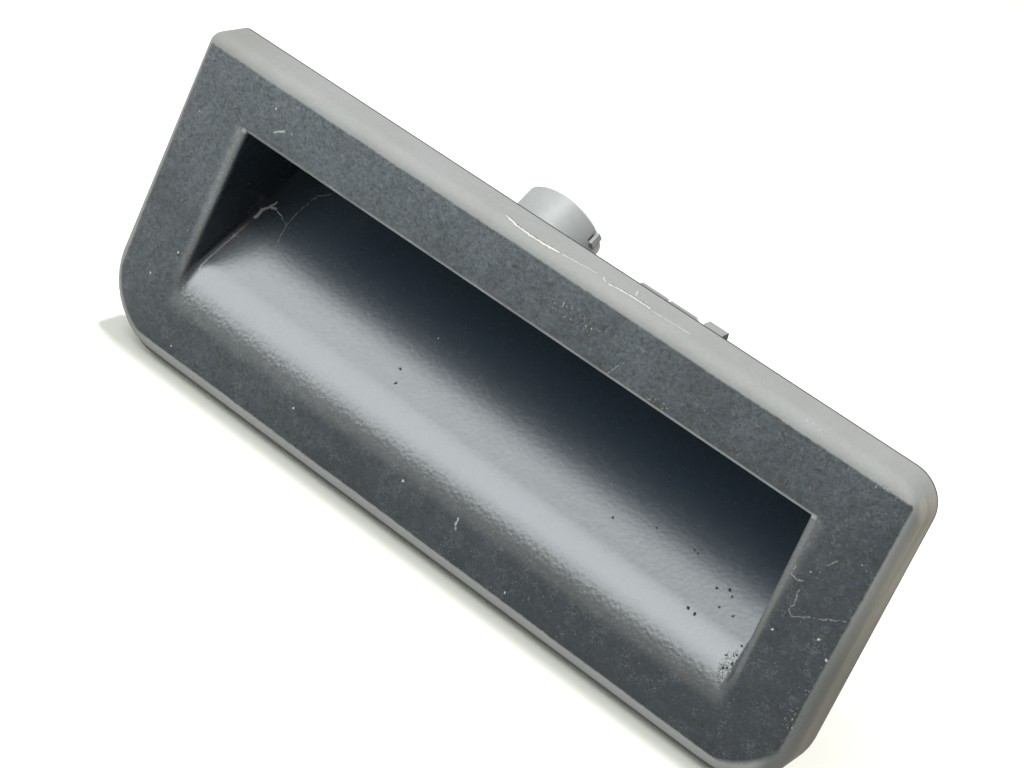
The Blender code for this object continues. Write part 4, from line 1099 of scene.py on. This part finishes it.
@dataclass(frozen=True)
class SoftBox:
    """One rectangular area light that looks at a point of the handle."""

    name: str
    place: Point
    target: Point
    width: float
    height: float
    power: float
    colour: Colour = (1.0, 1.0, 1.0)

    def build(self) -> None:
        """Add the light."""
        data = bpy.data.lights.new(self.name, "AREA")
        data.shape = "RECTANGLE"
        data.size = self.width
        data.size_y = self.height
        data.energy = self.power
        data.color = self.colour
        lamp = bpy.data.objects.new(self.name, data)
        bpy.context.scene.collection.objects.link(lamp)
        way = Vector(self.target) - Vector(self.place)
        lamp.rotation_euler = way.to_track_quat("-Z", "Y").to_euler()
        lamp.location = self.place


@dataclass
class Studio:
    """The pale floor, the soft light and the camera of the photograph."""

    floor_height: float = -0.0263
    floor_size: float = 3.0
    floor: Colour = (0.58, 0.577, 0.53)
    sky: float = 0.66
    sensor: float = 36.0
    nearest: float = 0.01
    focal_pixels: float = 2000.0
    camera_place: Point = (0.097956, -0.242022, 0.118718)
    camera_right: Point = (0.773468, 0.496691, 0.393751)
    camera_down: Point = (0.536529, -0.18231, -0.823953)
    lamps: tuple[SoftBox, ...] = (
        SoftBox(
            "window_light", (-0.40, -0.90, 0.69), (0.0, 0.0, 0.0), 0.7, 1.68, 22.5, (0.95, 1.0, 1.0)
        ),
        SoftBox("ceiling_light", (-0.12, 0.065, 1.8), (0.0, 0.0, 0.0), 0.14, 0.14, 40.0),
    )

    def build(self) -> None:
        """Add the floor, the world, the lights and the camera."""
        self.lay_floor()
        self.light_sky()
        for lamp in self.lamps:
            lamp.build()
        self.set_camera()
        bpy.context.scene.view_settings.view_transform = "Standard"

    def lay_floor(self) -> None:
        """Add the pale floor just under the handle."""
        bpy.ops.object.select_all(action="DESELECT")
        middle = (0.0, 0.0, self.floor_height)
        bpy.ops.mesh.primitive_plane_add(size=self.floor_size, location=middle)
        floor = bpy.context.active_object
        floor.name = "floor"
        g = Graph("floor_paper")
        shade = g.tint(self.floor, g.math("ADD", 0.98, g.times(g.noise(60.0, 3.0), 0.03)))
        floor.data.materials.append(g.finish(base_color=shade, roughness=0.9))

    def light_sky(self) -> None:
        """Set the white world."""
        world = bpy.data.worlds.new("studio_sky")
        world.use_nodes = True
        background = world.node_tree.nodes["Background"]
        background.inputs["Color"].default_value = (1.0, 1.0, 1.0, 1.0)
        background.inputs["Strength"].default_value = self.sky
        bpy.context.scene.world = world

    def set_camera(self) -> None:
        """Add the camera where the photograph was taken."""
        data = bpy.data.cameras.new("photo_camera")
        data.sensor_fit = "HORIZONTAL"
        data.sensor_width = self.sensor
        data.lens = self.focal_pixels * data.sensor_width / FRAME_WIDTH
        data.clip_start = self.nearest
        camera = bpy.data.objects.new("photo_camera", data)
        bpy.context.scene.collection.objects.link(camera)
        right = Vector(self.camera_right).normalized()
        up = -Vector(self.camera_down)
        up = (up - right * up.dot(right)).normalized()
        turn = Matrix((right, up, right.cross(up))).transposed().to_4x4()
        camera.matrix_world = Matrix.Translation(self.camera_place) @ turn
        bpy.context.scene.camera = camera


def main() -> None:
    """Build and dress every sub-assembly, then the studio."""
    for part in (Housing(), ReleasePaddle(), SwitchModule(), PanelClips(), Studio()):
        part.build()
        LOG.info("built %s", type(part).__name__)


if __name__ == "__main__":
    logging.basicConfig(level=logging.INFO, format="%(name)s: %(message)s")
    main()
